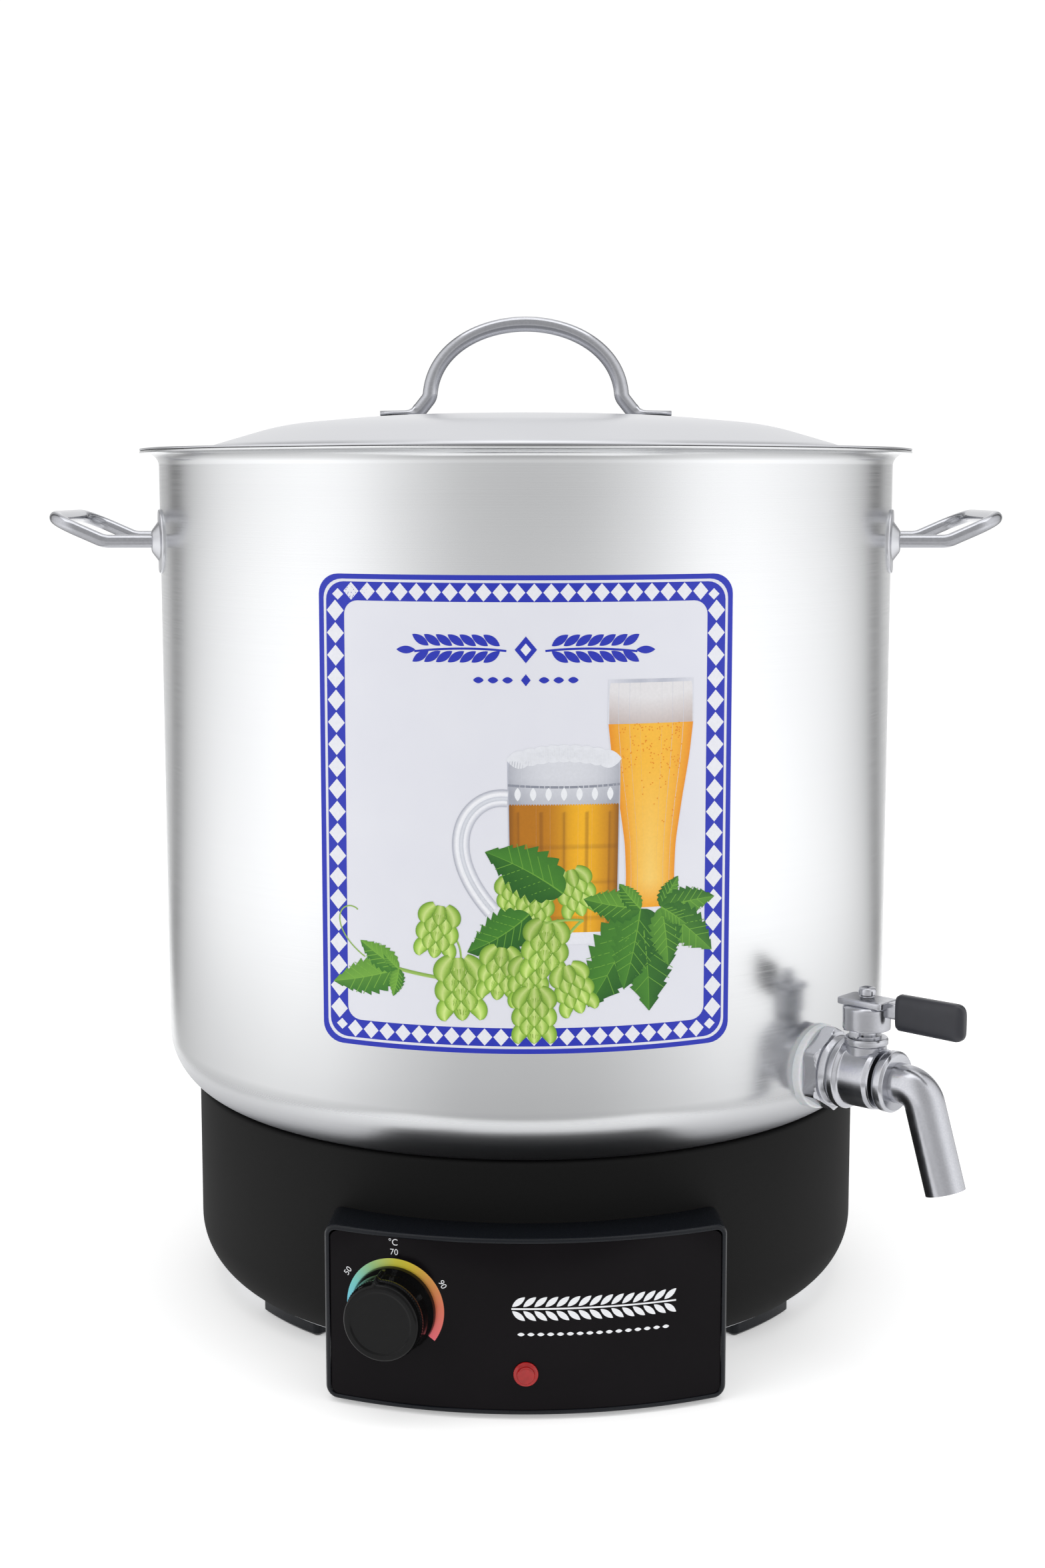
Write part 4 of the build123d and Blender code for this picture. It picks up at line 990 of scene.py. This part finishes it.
lid_rod_r = 3.65
arch_top_z = corners("lid_handle")[1][2] - lid_rod_r
foot_end = corners("lid_handle")[1][0]
foot_mid_z = lid_top_z + 1.5
arch_foot_x, arch_half = 52.5, 46.5
arch_low_z = foot_mid_z + 5.0
turn = np.linspace(-1, 1, 61) * math.pi / 2
crown_x = arch_half * np.sin(turn)
crown_z = arch_low_z + (arch_top_z - arch_low_z) * np.cos(turn) ** 0.9
arch = np.vstack(
    [
        rounded(
            [
                (-foot_end, 0, foot_mid_z - 0.35),
                (-arch_foot_x, 0, foot_mid_z),
                (crown_x[1], 0, crown_z[1]),
                (crown_x[2], 0, crown_z[2]),
            ],
            (6, 6),
            6.0,
        )[:-1],
        np.stack((crown_x[2:-2], 0 * turn[2:-2], crown_z[2:-2]), 1),
        rounded(
            [
                (crown_x[-3], 0, crown_z[-3]),
                (crown_x[-2], 0, crown_z[-2]),
                (arch_foot_x, 0, foot_mid_z),
                (foot_end, 0, foot_mid_z - 0.35),
            ],
            (6, 6),
            6.0,
        )[1:],
    ]
)
arch = spread(arch, 1.5)
flat = np.clip((np.abs(arch[:, 0]) - 52.0) / 6.0, 0, 1)
flat = flat * flat * (3 - 2 * flat)
squared = np.clip((foot_end - np.abs(arch[:, 0])) / 5.0, 0, 1) ** 0.5
wide = (1 + 0.5 * flat) * (0.55 + 0.45 * squared)
high = 1 - 0.59 * flat
put(
    "lid_arch", [tube(arch, lid_rod_r, 40, wide, high)], "lid", drawn_rod, ["lid_handle"]
)

# ---------------------------------------------------------------- control box

panel_inset = box_face_r - panel_r
bezel_side = panel_low[0] - box_low[0]
box_half = box_high[0]
box_bottom = box_low[2]
box_top = box_high[2]
box_back_top = 71.0


def box_outline(inset, top, radius, count=10):
    """Rounded rectangle seen from the front, inset from the box's sides, as (x, z) points."""
    low = box_bottom + inset
    return rounded_loop(-box_half + inset, box_half - inset, low, top - inset, radius, count)


def on_arc(outline, radius):
    """Points (x, z) seen from the front, pushed back onto a cylinder about the pot's axis."""
    x, z = outline[:, 0], outline[:, 1]
    return np.stack((x, -np.sqrt(radius**2 - x**2), z), 1)


def box_rings():
    """The box as rings: each step of the section gives an inset of the outline and a radius."""
    edge = 2.0
    recess = panel_inset + 0.3
    steps = [(0.0, base_r - 1.0), (0.0, box_face_r - edge)]
    for a in np.radians(np.linspace(15, 90, 6)):
        steps.append((edge * (1 - math.cos(a)) * 0.55, box_face_r - edge + edge * math.sin(a)))
    lip = bezel_side - 0.55
    for a in np.radians(np.linspace(0, 90, 5)):
        steps.append((lip + 0.45 * math.sin(a), box_face_r - 0.45 * (1 - math.cos(a))))
    steps.append((lip + 0.5, box_face_r - recess))
    rings = []
    for inset, radius in steps:
        share = np.clip((radius - base_r) / (box_face_r - base_r), 0, 1)
        top = box_back_top + (box_top - box_back_top) * share
        rings.append(on_arc(box_outline(inset, top, max(1.0, 5.0 - inset)), radius))
    return np.array(rings).transpose(1, 0, 2)


rings = box_rings()
put("box_shell", [rings], "kettle", black_abs, ["control_box"], sharp=50)


def panel_grid(radius, x0, x1, z0, z1, corner, layers=14):
    """Curved plate: the rounded outline shrinks towards its middle line in layers, each pushed
    onto the cylinder, so the face follows the arc."""
    outline = rounded_loop(x0, x1, z0, z1, corner, 10, 80)
    middle_z = (z0 + z1) / 2
    grid = []
    for k in range(layers + 1):
        s = 1 - k / layers
        shrunk = np.stack((outline[:, 0], middle_z + (outline[:, 1] - middle_z) * s), 1)
        grid.append(on_arc(shrunk, radius))
    return np.array(grid).transpose(1, 0, 2)


face = panel_grid(panel_r, panel_low[0], panel_high[0], panel_low[2], panel_high[2], 4.5)
put("panel_foil", [face], "kettle", gloss_foil, ["control_panel"], closed=False)

# ---------------------------------------------------------------- dial

dial_at, dial_axis = joint("dial_turn")
dial_angle = math.degrees(math.atan2(dial_axis[0], -dial_axis[1]))
dial_out, dial_side = around(dial_angle)
dial_z = dial_at[2]
face_gap = 0.6
knob_depth = 18.0
pointer_rest = 10.0


def knob_surface():
    """Knob as radius and height over the panel: a skirt, a waist and a plain face, turned round
    the dial axis; near the face the radius carries fine flutes, and one ridge marks the pointer."""
    section = rounded(
        [
            (15.5, 4.4),
            (15.5, face_gap),
            (18.5, face_gap),
            (18.3, 3.2),
            (17.2, 7.0),
            (16.8, 12.2),
            (17.0, 13.4),
            (16.6, 14.6),
            (16.1, knob_depth),
            (13.6, knob_depth),
            (12.8, knob_depth - 0.35),
            (0, knob_depth - 0.35),
        ],
        (0.2, 0.5, 1.0, 3.0, 1.2, 0.4, 0.6, 1.2, 0.5, 0.5),
        12.0,
    )
    section = spread(section, 0.8)
    count = 360
    t = np.arange(count) * TAU / count
    r = np.repeat(section[None, :, 0], count, 0)
    h = np.repeat(section[None, :, 1], count, 0)
    fluted = np.exp(-(((h - 13.3) / 0.9) ** 2)) * (r > 15.5)
    r = r + 0.16 * fluted * np.cos(90 * t)[:, None]
    away = (t - (math.pi / 2 + math.radians(pointer_rest)) + math.pi) % TAU - math.pi
    ridge = np.exp(-((away * 16.0 / 0.9) ** 2))[:, None]
    outer_part = np.clip((h - 4.5) / 2.0, 0, 1) * (r > 14.5)
    r = r + 1.5 * ridge * outer_part * np.clip((knob_depth + 0.4 - h) / 3.0, 0, 1)
    origin = panel_r * dial_out + dial_z * UP
    spoke = np.cos(t)[:, None] * dial_side + np.sin(t)[:, None] * UP
    return origin + r[..., None] * spoke[:, None] + h[..., None] * dial_out


put("dial_knob", [knob_surface()], "dial", knob_plastic, ["knob"], sharp=60)


def dial_print(angle, radius, lift=0.1):
    """Point of the dial's print: an angle clockwise from the top and a radius about the dial's
    axis, laid on the curved panel."""
    a = np.radians(angle)
    across = np.asarray(radius * np.sin(a))
    up = np.asarray(radius * np.cos(a))
    return lay_on_panel(across, up, dial_angle, dial_z, lift)


def lay_on_panel(across, up, angle, height, lift=0.1):
    """Flat figure wrapped on the panel: across becomes arc length, up stays height."""
    turn = math.radians(angle) + across / panel_r
    out = panel_r + lift
    return np.stack((out * np.sin(turn), -out * np.cos(turn), height + up), -1)


# Screen-printed scale: a rainbow arc from cool to hot, flat satin ink.
scale_ink, tree, shader = new_material("scale_ink", Roughness=0.35)
share = add(tree, "ShaderNodeAttribute", attribute_name="share").outputs["Fac"]
ramp = add(tree, "ShaderNodeValToRGB", {"Fac": share})
stops = (
    (0.0, "#6FCBE8"), (0.12, "#76D6D2"), (0.28, "#9CCB84"), (0.42, "#D6D24A"), (0.5, "#DFCB3E"),
    (0.64, "#E2A052"), (0.8, "#E67A58"), (1.0, "#EF6470"),
)
while len(ramp.color_ramp.elements) < len(stops):
    ramp.color_ramp.elements.new(0.5)
for element, (place, code) in zip(ramp.color_ramp.elements, stops):
    element.position = place
    element.color = linear(code)
tree.links.new(ramp.outputs["Color"], shader.inputs["Base Color"])

white_ink, tree, shader = new_material("white_ink", Roughness=0.4)
shader.inputs["Base Color"].default_value = linear("#E8E9EC")

scale_from, scale_to = -90.0, 126.0
turns = np.linspace(scale_from, scale_to, 121)
grid = np.stack([dial_print(turns, r) for r in np.linspace(14.8, 21.5, 5)], 1)
scale = put("dial_scale", [grid], "kettle", scale_ink, closed=False, wrap=(False, False))
share = scale.data.attributes.new("share", "FLOAT", "POINT")
place = np.array([v.co[:] for v in scale.data.vertices]) / MM
across = (np.arctan2(place[:, 0], -place[:, 1]) - math.radians(dial_angle)) * panel_r
angle = np.degrees(np.arctan2(across, place[:, 2] - dial_z))
angle = np.where(angle < scale_from - 5, angle + 360, angle)
share.data.foreach_set("value", np.clip((angle - scale_from) / (scale_to - scale_from), 0, 1))


def lettering(name, text, size, place, turn=0.0):
    """Generic figures for the dial as a flat mesh: text, turned, and wrapped on the panel."""
    curve = bpy.data.curves.new(name, "FONT")
    curve.body = text
    curve.size = size
    curve.align_x = "CENTER"
    curve.align_y = "CENTER"
    holder = bpy.data.objects.new(name, curve)
    bpy.context.scene.collection.objects.link(holder)
    flat_mesh = bpy.data.meshes.new_from_object(holder)
    bpy.data.objects.remove(holder)
    points = np.array([v.co[:] for v in flat_mesh.vertices])
    c, s = math.cos(math.radians(-turn)), math.sin(math.radians(-turn))
    across = place[0] + c * points[:, 0] - s * points[:, 1]
    up = place[1] + s * points[:, 0] + c * points[:, 1]
    wrapped = lay_on_panel(across, up, dial_angle, dial_z) * MM
    flat_mesh.vertices.foreach_set("co", wrapped.ravel())
    flat_mesh.update()
    return finish_piece(name, flat_mesh, "kettle", white_ink)


for text, radius, angle in (("50", 25.0, -57.0), ("70", 24.2, 0.0), ("90", 24.0, 60.0)):
    a = math.radians(angle)
    lettering(f"scale_{text}", text, 3.7, (radius * math.sin(a), radius * math.cos(a)), angle)
lettering("scale_degree", "°C", 3.9, (-0.4, 28.4))

# A plain printed garland of grain beside the dial, and a thin row of it below.
art, rise = [], 0.0
blank = np.zeros(3)
for k in range(15):
    x = -3.0 + 4.6 * k
    for lean in (-1, 1):
        kernel((x, 47.6 + lean * 3.0), 6.8, 2.5, lean * 38, blank)
garland_line = bend([(-6, 47.6), (28, 47.6), (64, 47.6)], 60)
band(garland_line, 0.35, 0.35, 2, np.array([blank, blank]))
for k in range(16):
    kernel((-2.0 + 4.1 * k, 36.6), 3.0, 1.5, 0, blank)
ornament = [
    (lay_on_panel(figure[..., 0], figure[..., 1], 0.0, 0.0), False, False) for figure, _ in art
]
put("panel_garland", ornament, "kettle", white_ink, closed=False, merge=False)

# ---------------------------------------------------------------- lamp

lens_low, lens_high = corners("indicator_lens")
lens_z = (lens_low[2] + lens_high[2]) / 2
lens_section = rounded(
    [(4.2, -3.0), (4.2, 0.1), (5.2, 0.1), (5.2, 1.0), (3.9, 1.2), (3.6, 2.6), (0, 2.9)],
    (0, 0.1, 0.4, 0.3, 0.9),
    12.0,
)
lens_section = np.vstack(((0, -3.0), lens_section))
put(
    "lamp_lens",
    [turned(lens_section, 48, (0, -panel_r, lens_z), (0, -1, 0))],
    "kettle",
    red_lens,
    ["indicator_lens"],
)

# ---------------------------------------------------------------- tap

stem_at, _ = joint("lever_turn")
tap_angle = math.degrees(math.atan2(stem_at[0], -stem_at[1]))
tap_out, tap_side = around(tap_angle)
stem_s = math.hypot(stem_at[0], stem_at[1]) - pot_r
tap_z = (corners("tap_gasket")[0][2] + corners("tap_gasket")[1][2]) / 2
wall_point = pot_r * tap_out + tap_z * UP
stem_foot = (pot_r + stem_s) * tap_out
gasket_r = 18.8


def along_tap(section, count=96):
    """Section given as (radius, distance from the wall) turned round the tap's flow axis."""
    return turned(np.asarray(section, float), count, wall_point, tap_out)


gasket = rounded([(10.5, -3.0), (gasket_r, -3.0), (gasket_r, 3.0), (10.5, 3.0)], (0.0, 0.9), 15.0)
gasket_ring = along_tap(np.vstack((gasket, gasket[:1])))
put("wall_gasket", [gasket_ring], "kettle", milky_silicone, ["tap_gasket"])


def faceted(section, across, start, end, count=192):
    """Turned section with hexagon flats between two distances: the radius is the smaller of the
    turned one and half the width across flats over the cosine of the angle from a flat's middle."""
    section = spread(np.asarray(section, float), 0.7)
    t = np.arange(count) * TAU / count
    r = np.repeat(section[None, :, 0], count, 0)
    s = np.repeat(section[None, :, 1], count, 0)
    from_flat = (t + math.radians(30)) % math.radians(60) - math.radians(30)
    hexagon = (across / 2) / np.cos(from_flat)
    hexagon = np.repeat(hexagon[:, None], r.shape[1], 1)
    inside = (s >= start - 1e-6) & (s <= end + 1e-6) & (r > across / 2 - 2.5)
    r = np.where(inside, np.minimum(r, hexagon), r)
    x = np.cross(tap_out, UP)
    spoke = np.cos(t)[:, None] * x + np.sin(t)[:, None] * np.cross(tap_out, x)
    return wall_point + r[..., None] * spoke[:, None] + s[..., None] * tap_out


body_section = rounded(
    [
        (0, -15.9),
        (10.3, -15.9),
        (10.3, 3.0),
        (18.2, 3.0),
        (18.9, 4.2),
        (18.9, 8.8),
        (17.0, 10.0),
        (15.4, 10.2),
        (14.6, 12.6),
        (14.6, 13.4),
        (15.9, 14.6),
        (15.9, 17.6),
        (13.9, 18.9),
        (13.8, 31.5),
        (13.2, 33.4),
        (13.2, 34.2),
        (12.6, 35.9),
        (0, 35.9),
    ],
    (0.3, 0.3, 0.4, 0.6, 0.6, 0.4, 0.5, 0.8, 0.8, 1.2, 1.0, 1.2, 0.8, 0.4, 0.4),
    15.0,
)
boss_top_z = 146.5
boss_section = rounded(
    [
        (0, tap_z),
        (9.0, tap_z),
        (9.0, boss_top_z - 3.5),
        (9.6, boss_top_z - 2.9),
        (9.6, boss_top_z - 0.9),
        (9.2, boss_top_z),
        (4.6, boss_top_z),
        (4.6, tap_z),
    ],
    (0, 0, 0.4, 0.5, 0.4, 0.3, 0),
    15.0,
)
tap_grids = [
    faceted(body_section, 33.0, 3.0, 10.2),
    turned(spread(boss_section, 1.5), 72, stem_foot, UP),
]
put("tap_casting", tap_grids, "kettle", polished_cast, ["tap_body"], sharp=35)

collar = rounded(
    [(8.8, 36.0), (12.8, 36.0), (13.5, 37.2), (13.5, 40.2), (12.4, 41.4), (8.8, 41.6)],
    (0, 0.6, 0.9, 0.9),
    15.0,
)
put(
    "spout_ring",
    [along_tap(np.vstack((collar, collar[:1])), 96)],
    "kettle",
    polished_cast,
    ["spout_collar"],
)

spout_r, spout_wall, bend_r, bend_start = 8.75, 1.2, 10.0, 45.7
fall = math.radians(73.0)
bend_at = bend_start + bend_r * math.tan(fall / 2)
tip_z = corners("spout")[0][2] + spout_r * math.cos(fall)
bend_low = tap_z - bend_r * (1 - math.cos(fall))
tip_s = bend_start + bend_r * math.sin(fall) + (bend_low - tip_z) / math.tan(fall)
flow = rounded([(36.5, tap_z), (bend_at, tap_z), (tip_s, tip_z)], (bend_r,), 4.0)
flow = spread(flow, 2.0)
spine = pot_r * tap_out + flow[:, :1] * tap_out + flow[:, 1:] * UP
outer = tube(spine, spout_r, 56)[:, 1:-1]
inner = tube(spine, spout_r - spout_wall, 56)[:, 1:-1]
shell = np.concatenate((outer[:, :-1], outer[:, -1:], inner[:, ::-1], outer[:, :1]), axis=1)
put("spout_tube", [shell], "kettle", polished_cast, ["spout"])

# ---------------------------------------------------------------- lever

hub_low, hub_high = corners("tap_lever")
hub_r = 10.7
plate_t = 3.2
hub_top_z = hub_high[2]
hub_low_z = hub_low[2] + 2.6
shoulder_z = hub_top_z - plate_t + 0.2
hub_section = rounded(
    [
        (4.6, hub_low_z + 4.6),
        (9.0, hub_low_z + 4.6),
        (9.0, hub_low_z),
        (hub_r - 0.2, hub_low_z),
        (hub_r, shoulder_z - 1.0),
        (hub_r - 1.0, shoulder_z),
        (4.6, shoulder_z),
    ],
    (0.2, 0.2, 0.4, 0.8, 0.4),
    15.0,
)


def block(centre, half, power=8.0, count=(48, 24), axes=None):
    """Rounded block as a superquadric: each axis is half * sign * |cos or sin| ** (2 / power),
    so a high power gives flat faces and soft edges."""
    u = np.linspace(0, TAU, count[0], endpoint=False)
    v = np.linspace(-math.pi / 2, math.pi / 2, count[1])

    def bent(value):
        return np.sign(value) * np.abs(value) ** (2 / power)

    x = bent(np.cos(v))[None] * bent(np.cos(u))[:, None]
    y = bent(np.cos(v))[None] * bent(np.sin(u))[:, None]
    z = np.repeat(bent(np.sin(v))[None], count[0], 0)
    a, b, c = axes or (tap_out, tap_side, UP)
    return (
        np.asarray(centre, float)
        + half[0] * x[..., None] * a
        + half[1] * y[..., None] * b
        + half[2] * z[..., None] * c
    )


hub = [turned(spread(np.vstack((hub_section, hub_section[:1])), 1.0), 96, stem_foot, UP)]
hub.append(block(stem_foot + (hub_top_z - plate_t / 2) * UP, (hub_r + 0.7, 7.4, plate_t / 2), 10.0))
fin_z = (corners("lever_sleeve")[0][2] + corners("lever_sleeve")[1][2]) / 2
hub.append(block(stem_foot + 16 * tap_out + fin_z * UP, (8.5, 1.2, 3.5), 10.0))
hub.append(block(stem_foot - 9.6 * tap_out + (hub_low_z - 1.0) * UP, (1.3, 2.0, 1.6), 8.0))
hub.append(block(stem_foot - 9.6 * tap_side + (hub_low_z - 1.0) * UP, (2.0, 1.3, 1.6), 8.0))
put("lever_hub", hub, "lever", polished_cast, ["tap_lever"], sharp=50)

sleeve_start = hub_r + 5.3
sleeve_length, sleeve_width = 33.0, 6.4
sleeve_height = corners("lever_sleeve")[1][2] - corners("lever_sleeve")[0][2]


def sleeve_grid():
    """Dipped sleeve: along its length the section is a superellipse that swells slightly and
    closes in a rounded nose; its mouth has a thin rolled edge."""
    s = np.concatenate((np.linspace(0, 1, 28)[:-1], 1 - np.geomspace(0.045, 0.0005, 10)))
    s = np.sort(np.clip(s, 0, 1))
    nose = np.sqrt(np.clip(1 - np.clip((s - 0.86) / 0.14, 0, 1) ** 2.4, 0, 1))
    mouth = 0.9 + 0.1 * np.clip(s / 0.03, 0, 1)
    t = np.arange(48) * TAU / 48

    def bent(value, power):
        return np.sign(value) * np.abs(value) ** (2 / power)

    wide = sleeve_width / 2 * (0.96 + 0.04 * np.sin(math.pi * s)) * (0.25 + 0.75 * nose) * mouth
    tall = sleeve_height / 2 * (0.97 + 0.03 * s) * (0.5 + 0.5 * nose) * mouth
    across = bent(np.cos(t), 3.4)[:, None] * wide
    up = bent(np.sin(t), 4.6)[:, None] * tall
    out = stem_s + sleeve_start + s * sleeve_length
    centre = (pot_r + out)[:, None] * tap_out + fin_z * UP
    grid = centre + across[..., None] * tap_side + up[..., None] * UP
    ends = np.repeat(centre[None, :1], 48, 0), np.repeat(centre[None, -1:], 48, 0)
    return np.concatenate((ends[0], grid, ends[1]), axis=1)


put("sleeve_vinyl", [sleeve_grid()], "lever", dipped_vinyl, ["lever_sleeve"], sharp=70)


def screw_head():
    """Pan head as height over radius, with a cross recess where |x| or |y| is under half a slot."""
    head_t = 3.4
    low = corners("lever_screw")[1][2] - head_t
    r = np.concatenate((np.linspace(0, 3.4, 18), 3.4 + 0.5 * np.sin(np.linspace(0, math.pi / 2, 8)[1:])))
    top = head_t - 0.9 * (r / 3.9) ** 4
    edge = 1 - np.sqrt(np.clip(1 - ((r - 3.4) / 0.5) ** 2, 0, 1))
    top = np.where(r > 3.4, head_t - 0.9 * (3.4 / 3.9) ** 4 - edge * 1.6, top)
    t = np.arange(96) * TAU / 96
    x, y = r[None] * np.cos(t)[:, None], r[None] * np.sin(t)[:, None]
    cross = ((np.abs(x) < 0.5) | (np.abs(y) < 0.5)) & (r[None] < 2.3)
    h = np.repeat(top[None], 96, 0) - 1.5 * cross
    rim = np.stack((np.repeat(r[-1], 96) * np.cos(t), np.repeat(r[-1], 96) * np.sin(t), 0 * t + 0.2), 1)
    grid = np.stack((x, y, h), -1)
    under = np.stack((0 * t, 0 * t, 0 * t + 0.2), 1)
    grid = np.concatenate((grid, rim[:, None], under[:, None]), axis=1)
    return stem_foot + low * UP + grid


put("screw_pan_head", [screw_head()], "lever", polished_cast, ["lever_screw"], sharp=30)
washer_low = corners("lever_washer")[0][2]
coil_turn = np.linspace(0, TAU * 0.97, 60)
coil = np.stack(
    (3.0 * np.cos(coil_turn), 3.0 * np.sin(coil_turn), washer_low + 0.45 + 0.4 * coil_turn / TAU), 1
)
put("spring_ring", [tube(stem_foot + coil, 0.42, 12)], "lever", polished_cast, ["lever_washer"])

# ---------------------------------------------------------------- stage, light and camera

# Brightness of the studio over the angle from straight behind the object, in half turns: white
# backdrop, grey, a narrow dark flag, a bright screen at each side, and a grey room in front.
STUDIO_STRENGTH = 1.6
STUDIO_STOPS = (
    (0.0, 1.06), (0.09, 1.06), (0.11, 0.72), (0.19, 0.62), (0.225, 0.12), (0.262, 0.12),
    (0.285, 0.56), (0.34, 0.84), (0.42, 1.1), (0.52, 1.28), (0.62, 1.4), (0.7, 1.34),
    (0.8, 0.98), (0.9, 0.7), (1.0, 0.66),
)


def studio_light(tree, direction):
    """Colour from the studio's brightness in a direction: arccos of its level part's Y, over pi."""
    parts = add(tree, "ShaderNodeSeparateXYZ", {"Vector": direction}).outputs
    level = add(tree, "ShaderNodeCombineXYZ", {"X": parts["X"], "Y": parts["Y"]}).outputs[0]
    unit = add(tree, "ShaderNodeVectorMath", {0: level}, operation="NORMALIZE").outputs[0]
    behind = add(tree, "ShaderNodeSeparateXYZ", {"Vector": unit}).outputs["Y"]
    angle = add(tree, "ShaderNodeMath", {0: behind}, operation="ARCCOSINE").outputs[0]
    share = add(tree, "ShaderNodeMath", {0: angle, 1: math.pi}, operation="DIVIDE").outputs[0]
    ramp = add(tree, "ShaderNodeValToRGB", {"Fac": share})
    while len(ramp.color_ramp.elements) < len(STUDIO_STOPS):
        ramp.color_ramp.elements.new(0.5)
    for element, (place, value) in zip(ramp.color_ramp.elements, STUDIO_STOPS):
        element.position = place
        element.color = (*[value / STUDIO_STRENGTH] * 3, 1)
    return ramp.outputs["Color"]


def stage_sheet(name, outline, z, colour, glow):
    """Flat sheet of the stage from its outline: matt, with a little light of its own."""
    sheet_mesh = bpy.data.meshes.new(name)
    sheet_mesh.from_pydata([(x, y, z) for x, y in outline], [], [list(range(len(outline)))])
    sheet = bpy.data.objects.new(name, sheet_mesh)
    bpy.context.scene.collection.objects.link(sheet)
    paint, tree, shader = new_material(f"{name}_paint", Roughness=0.9, Emission_Strength=glow)
    shader.inputs["Specular IOR Level"].default_value = 0.0
    shader.inputs["Base Color"].default_value = linear(colour)
    shader.inputs["Emission Color"].default_value = linear("#FFFFFF")
    sheet_mesh.materials.append(paint)
    return tree, shader


def stage_floor():
    """Wide matt floor that carries the studio's light on below the horizon: its glow follows the
    same angles and fades towards the object, where less light reaches it."""
    wide = [(-12, -12), (12, -12), (12, 12), (-12, 12)]
    tree, shader = stage_sheet("studio_floor", wide, -0.0012, "#707070", 1.0)
    place = add(tree, "ShaderNodeTexCoord").outputs["Object"]
    light = studio_light(tree, place)
    far = add(tree, "ShaderNodeVectorMath", {0: place}, operation="LENGTH").outputs["Value"]
    values = {"Value": far, "From Min": 0.25, "From Max": 1.3}
    values |= {"To Min": 0.55 * STUDIO_STRENGTH, "To Max": STUDIO_STRENGTH}
    fade = add(tree, "ShaderNodeMapRange", values, interpolation_type="SMOOTHSTEP").outputs["Result"]
    tree.links.new(light, shader.inputs["Emission Color"])
    tree.links.new(fade, shader.inputs["Emission Strength"])


stage_floor()
near, far_end, spread_rate = -0.37, 6.0, 0.275
paper = [
    (side * (0.02 + spread_rate * (y + 1.05)), y)
    for side, y in ((-1, near), (1, near), (1, far_end), (-1, far_end))
]
stage_sheet("paper_roll", paper, -0.0002, "#F6F6F6", 0.34)

world = bpy.data.worlds.new("studio")
bpy.context.scene.world = world
world.use_nodes = True
direction = add(world.node_tree, "ShaderNodeTexCoord").outputs["Generated"]
background = world.node_tree.nodes["Background"]
world.node_tree.links.new(studio_light(world.node_tree, direction), background.inputs["Color"])
background.inputs["Strength"].default_value = STUDIO_STRENGTH


def softbox(name, place, size, watts, target=(0, 0, 0.22)):
    """Rectangular area light at a place, facing the object."""
    data = bpy.data.lights.new(name, "AREA")
    data.shape = "RECTANGLE"
    data.size, data.size_y = size
    data.energy = watts
    lamp = bpy.data.objects.new(name, data)
    bpy.context.scene.collection.objects.link(lamp)
    lamp.location = place
    lamp.rotation_euler = (Vector(target) - Vector(place)).to_track_quat("-Z", "Y").to_euler()
    return lamp


softbox("softbox_top", (0, 0.1, 2.4), (2.4, 1.6), 14)

camera_data = bpy.data.cameras.new("camera")
camera = bpy.data.objects.new("camera", camera_data)
bpy.context.scene.collection.objects.link(camera)
camera_data.sensor_fit = "VERTICAL"
camera_data.sensor_height = 36.0
camera_data.lens = 49.1327
camera_data.shift_x = -0.002126
camera_data.shift_y = -0.019558
camera.location = (0.0, -1.05, 0.3865)
camera.rotation_euler = (math.pi / 2 - 0.125, 0, 0)
bpy.context.scene.camera = camera
bpy.context.scene.view_settings.view_transform = "Standard"
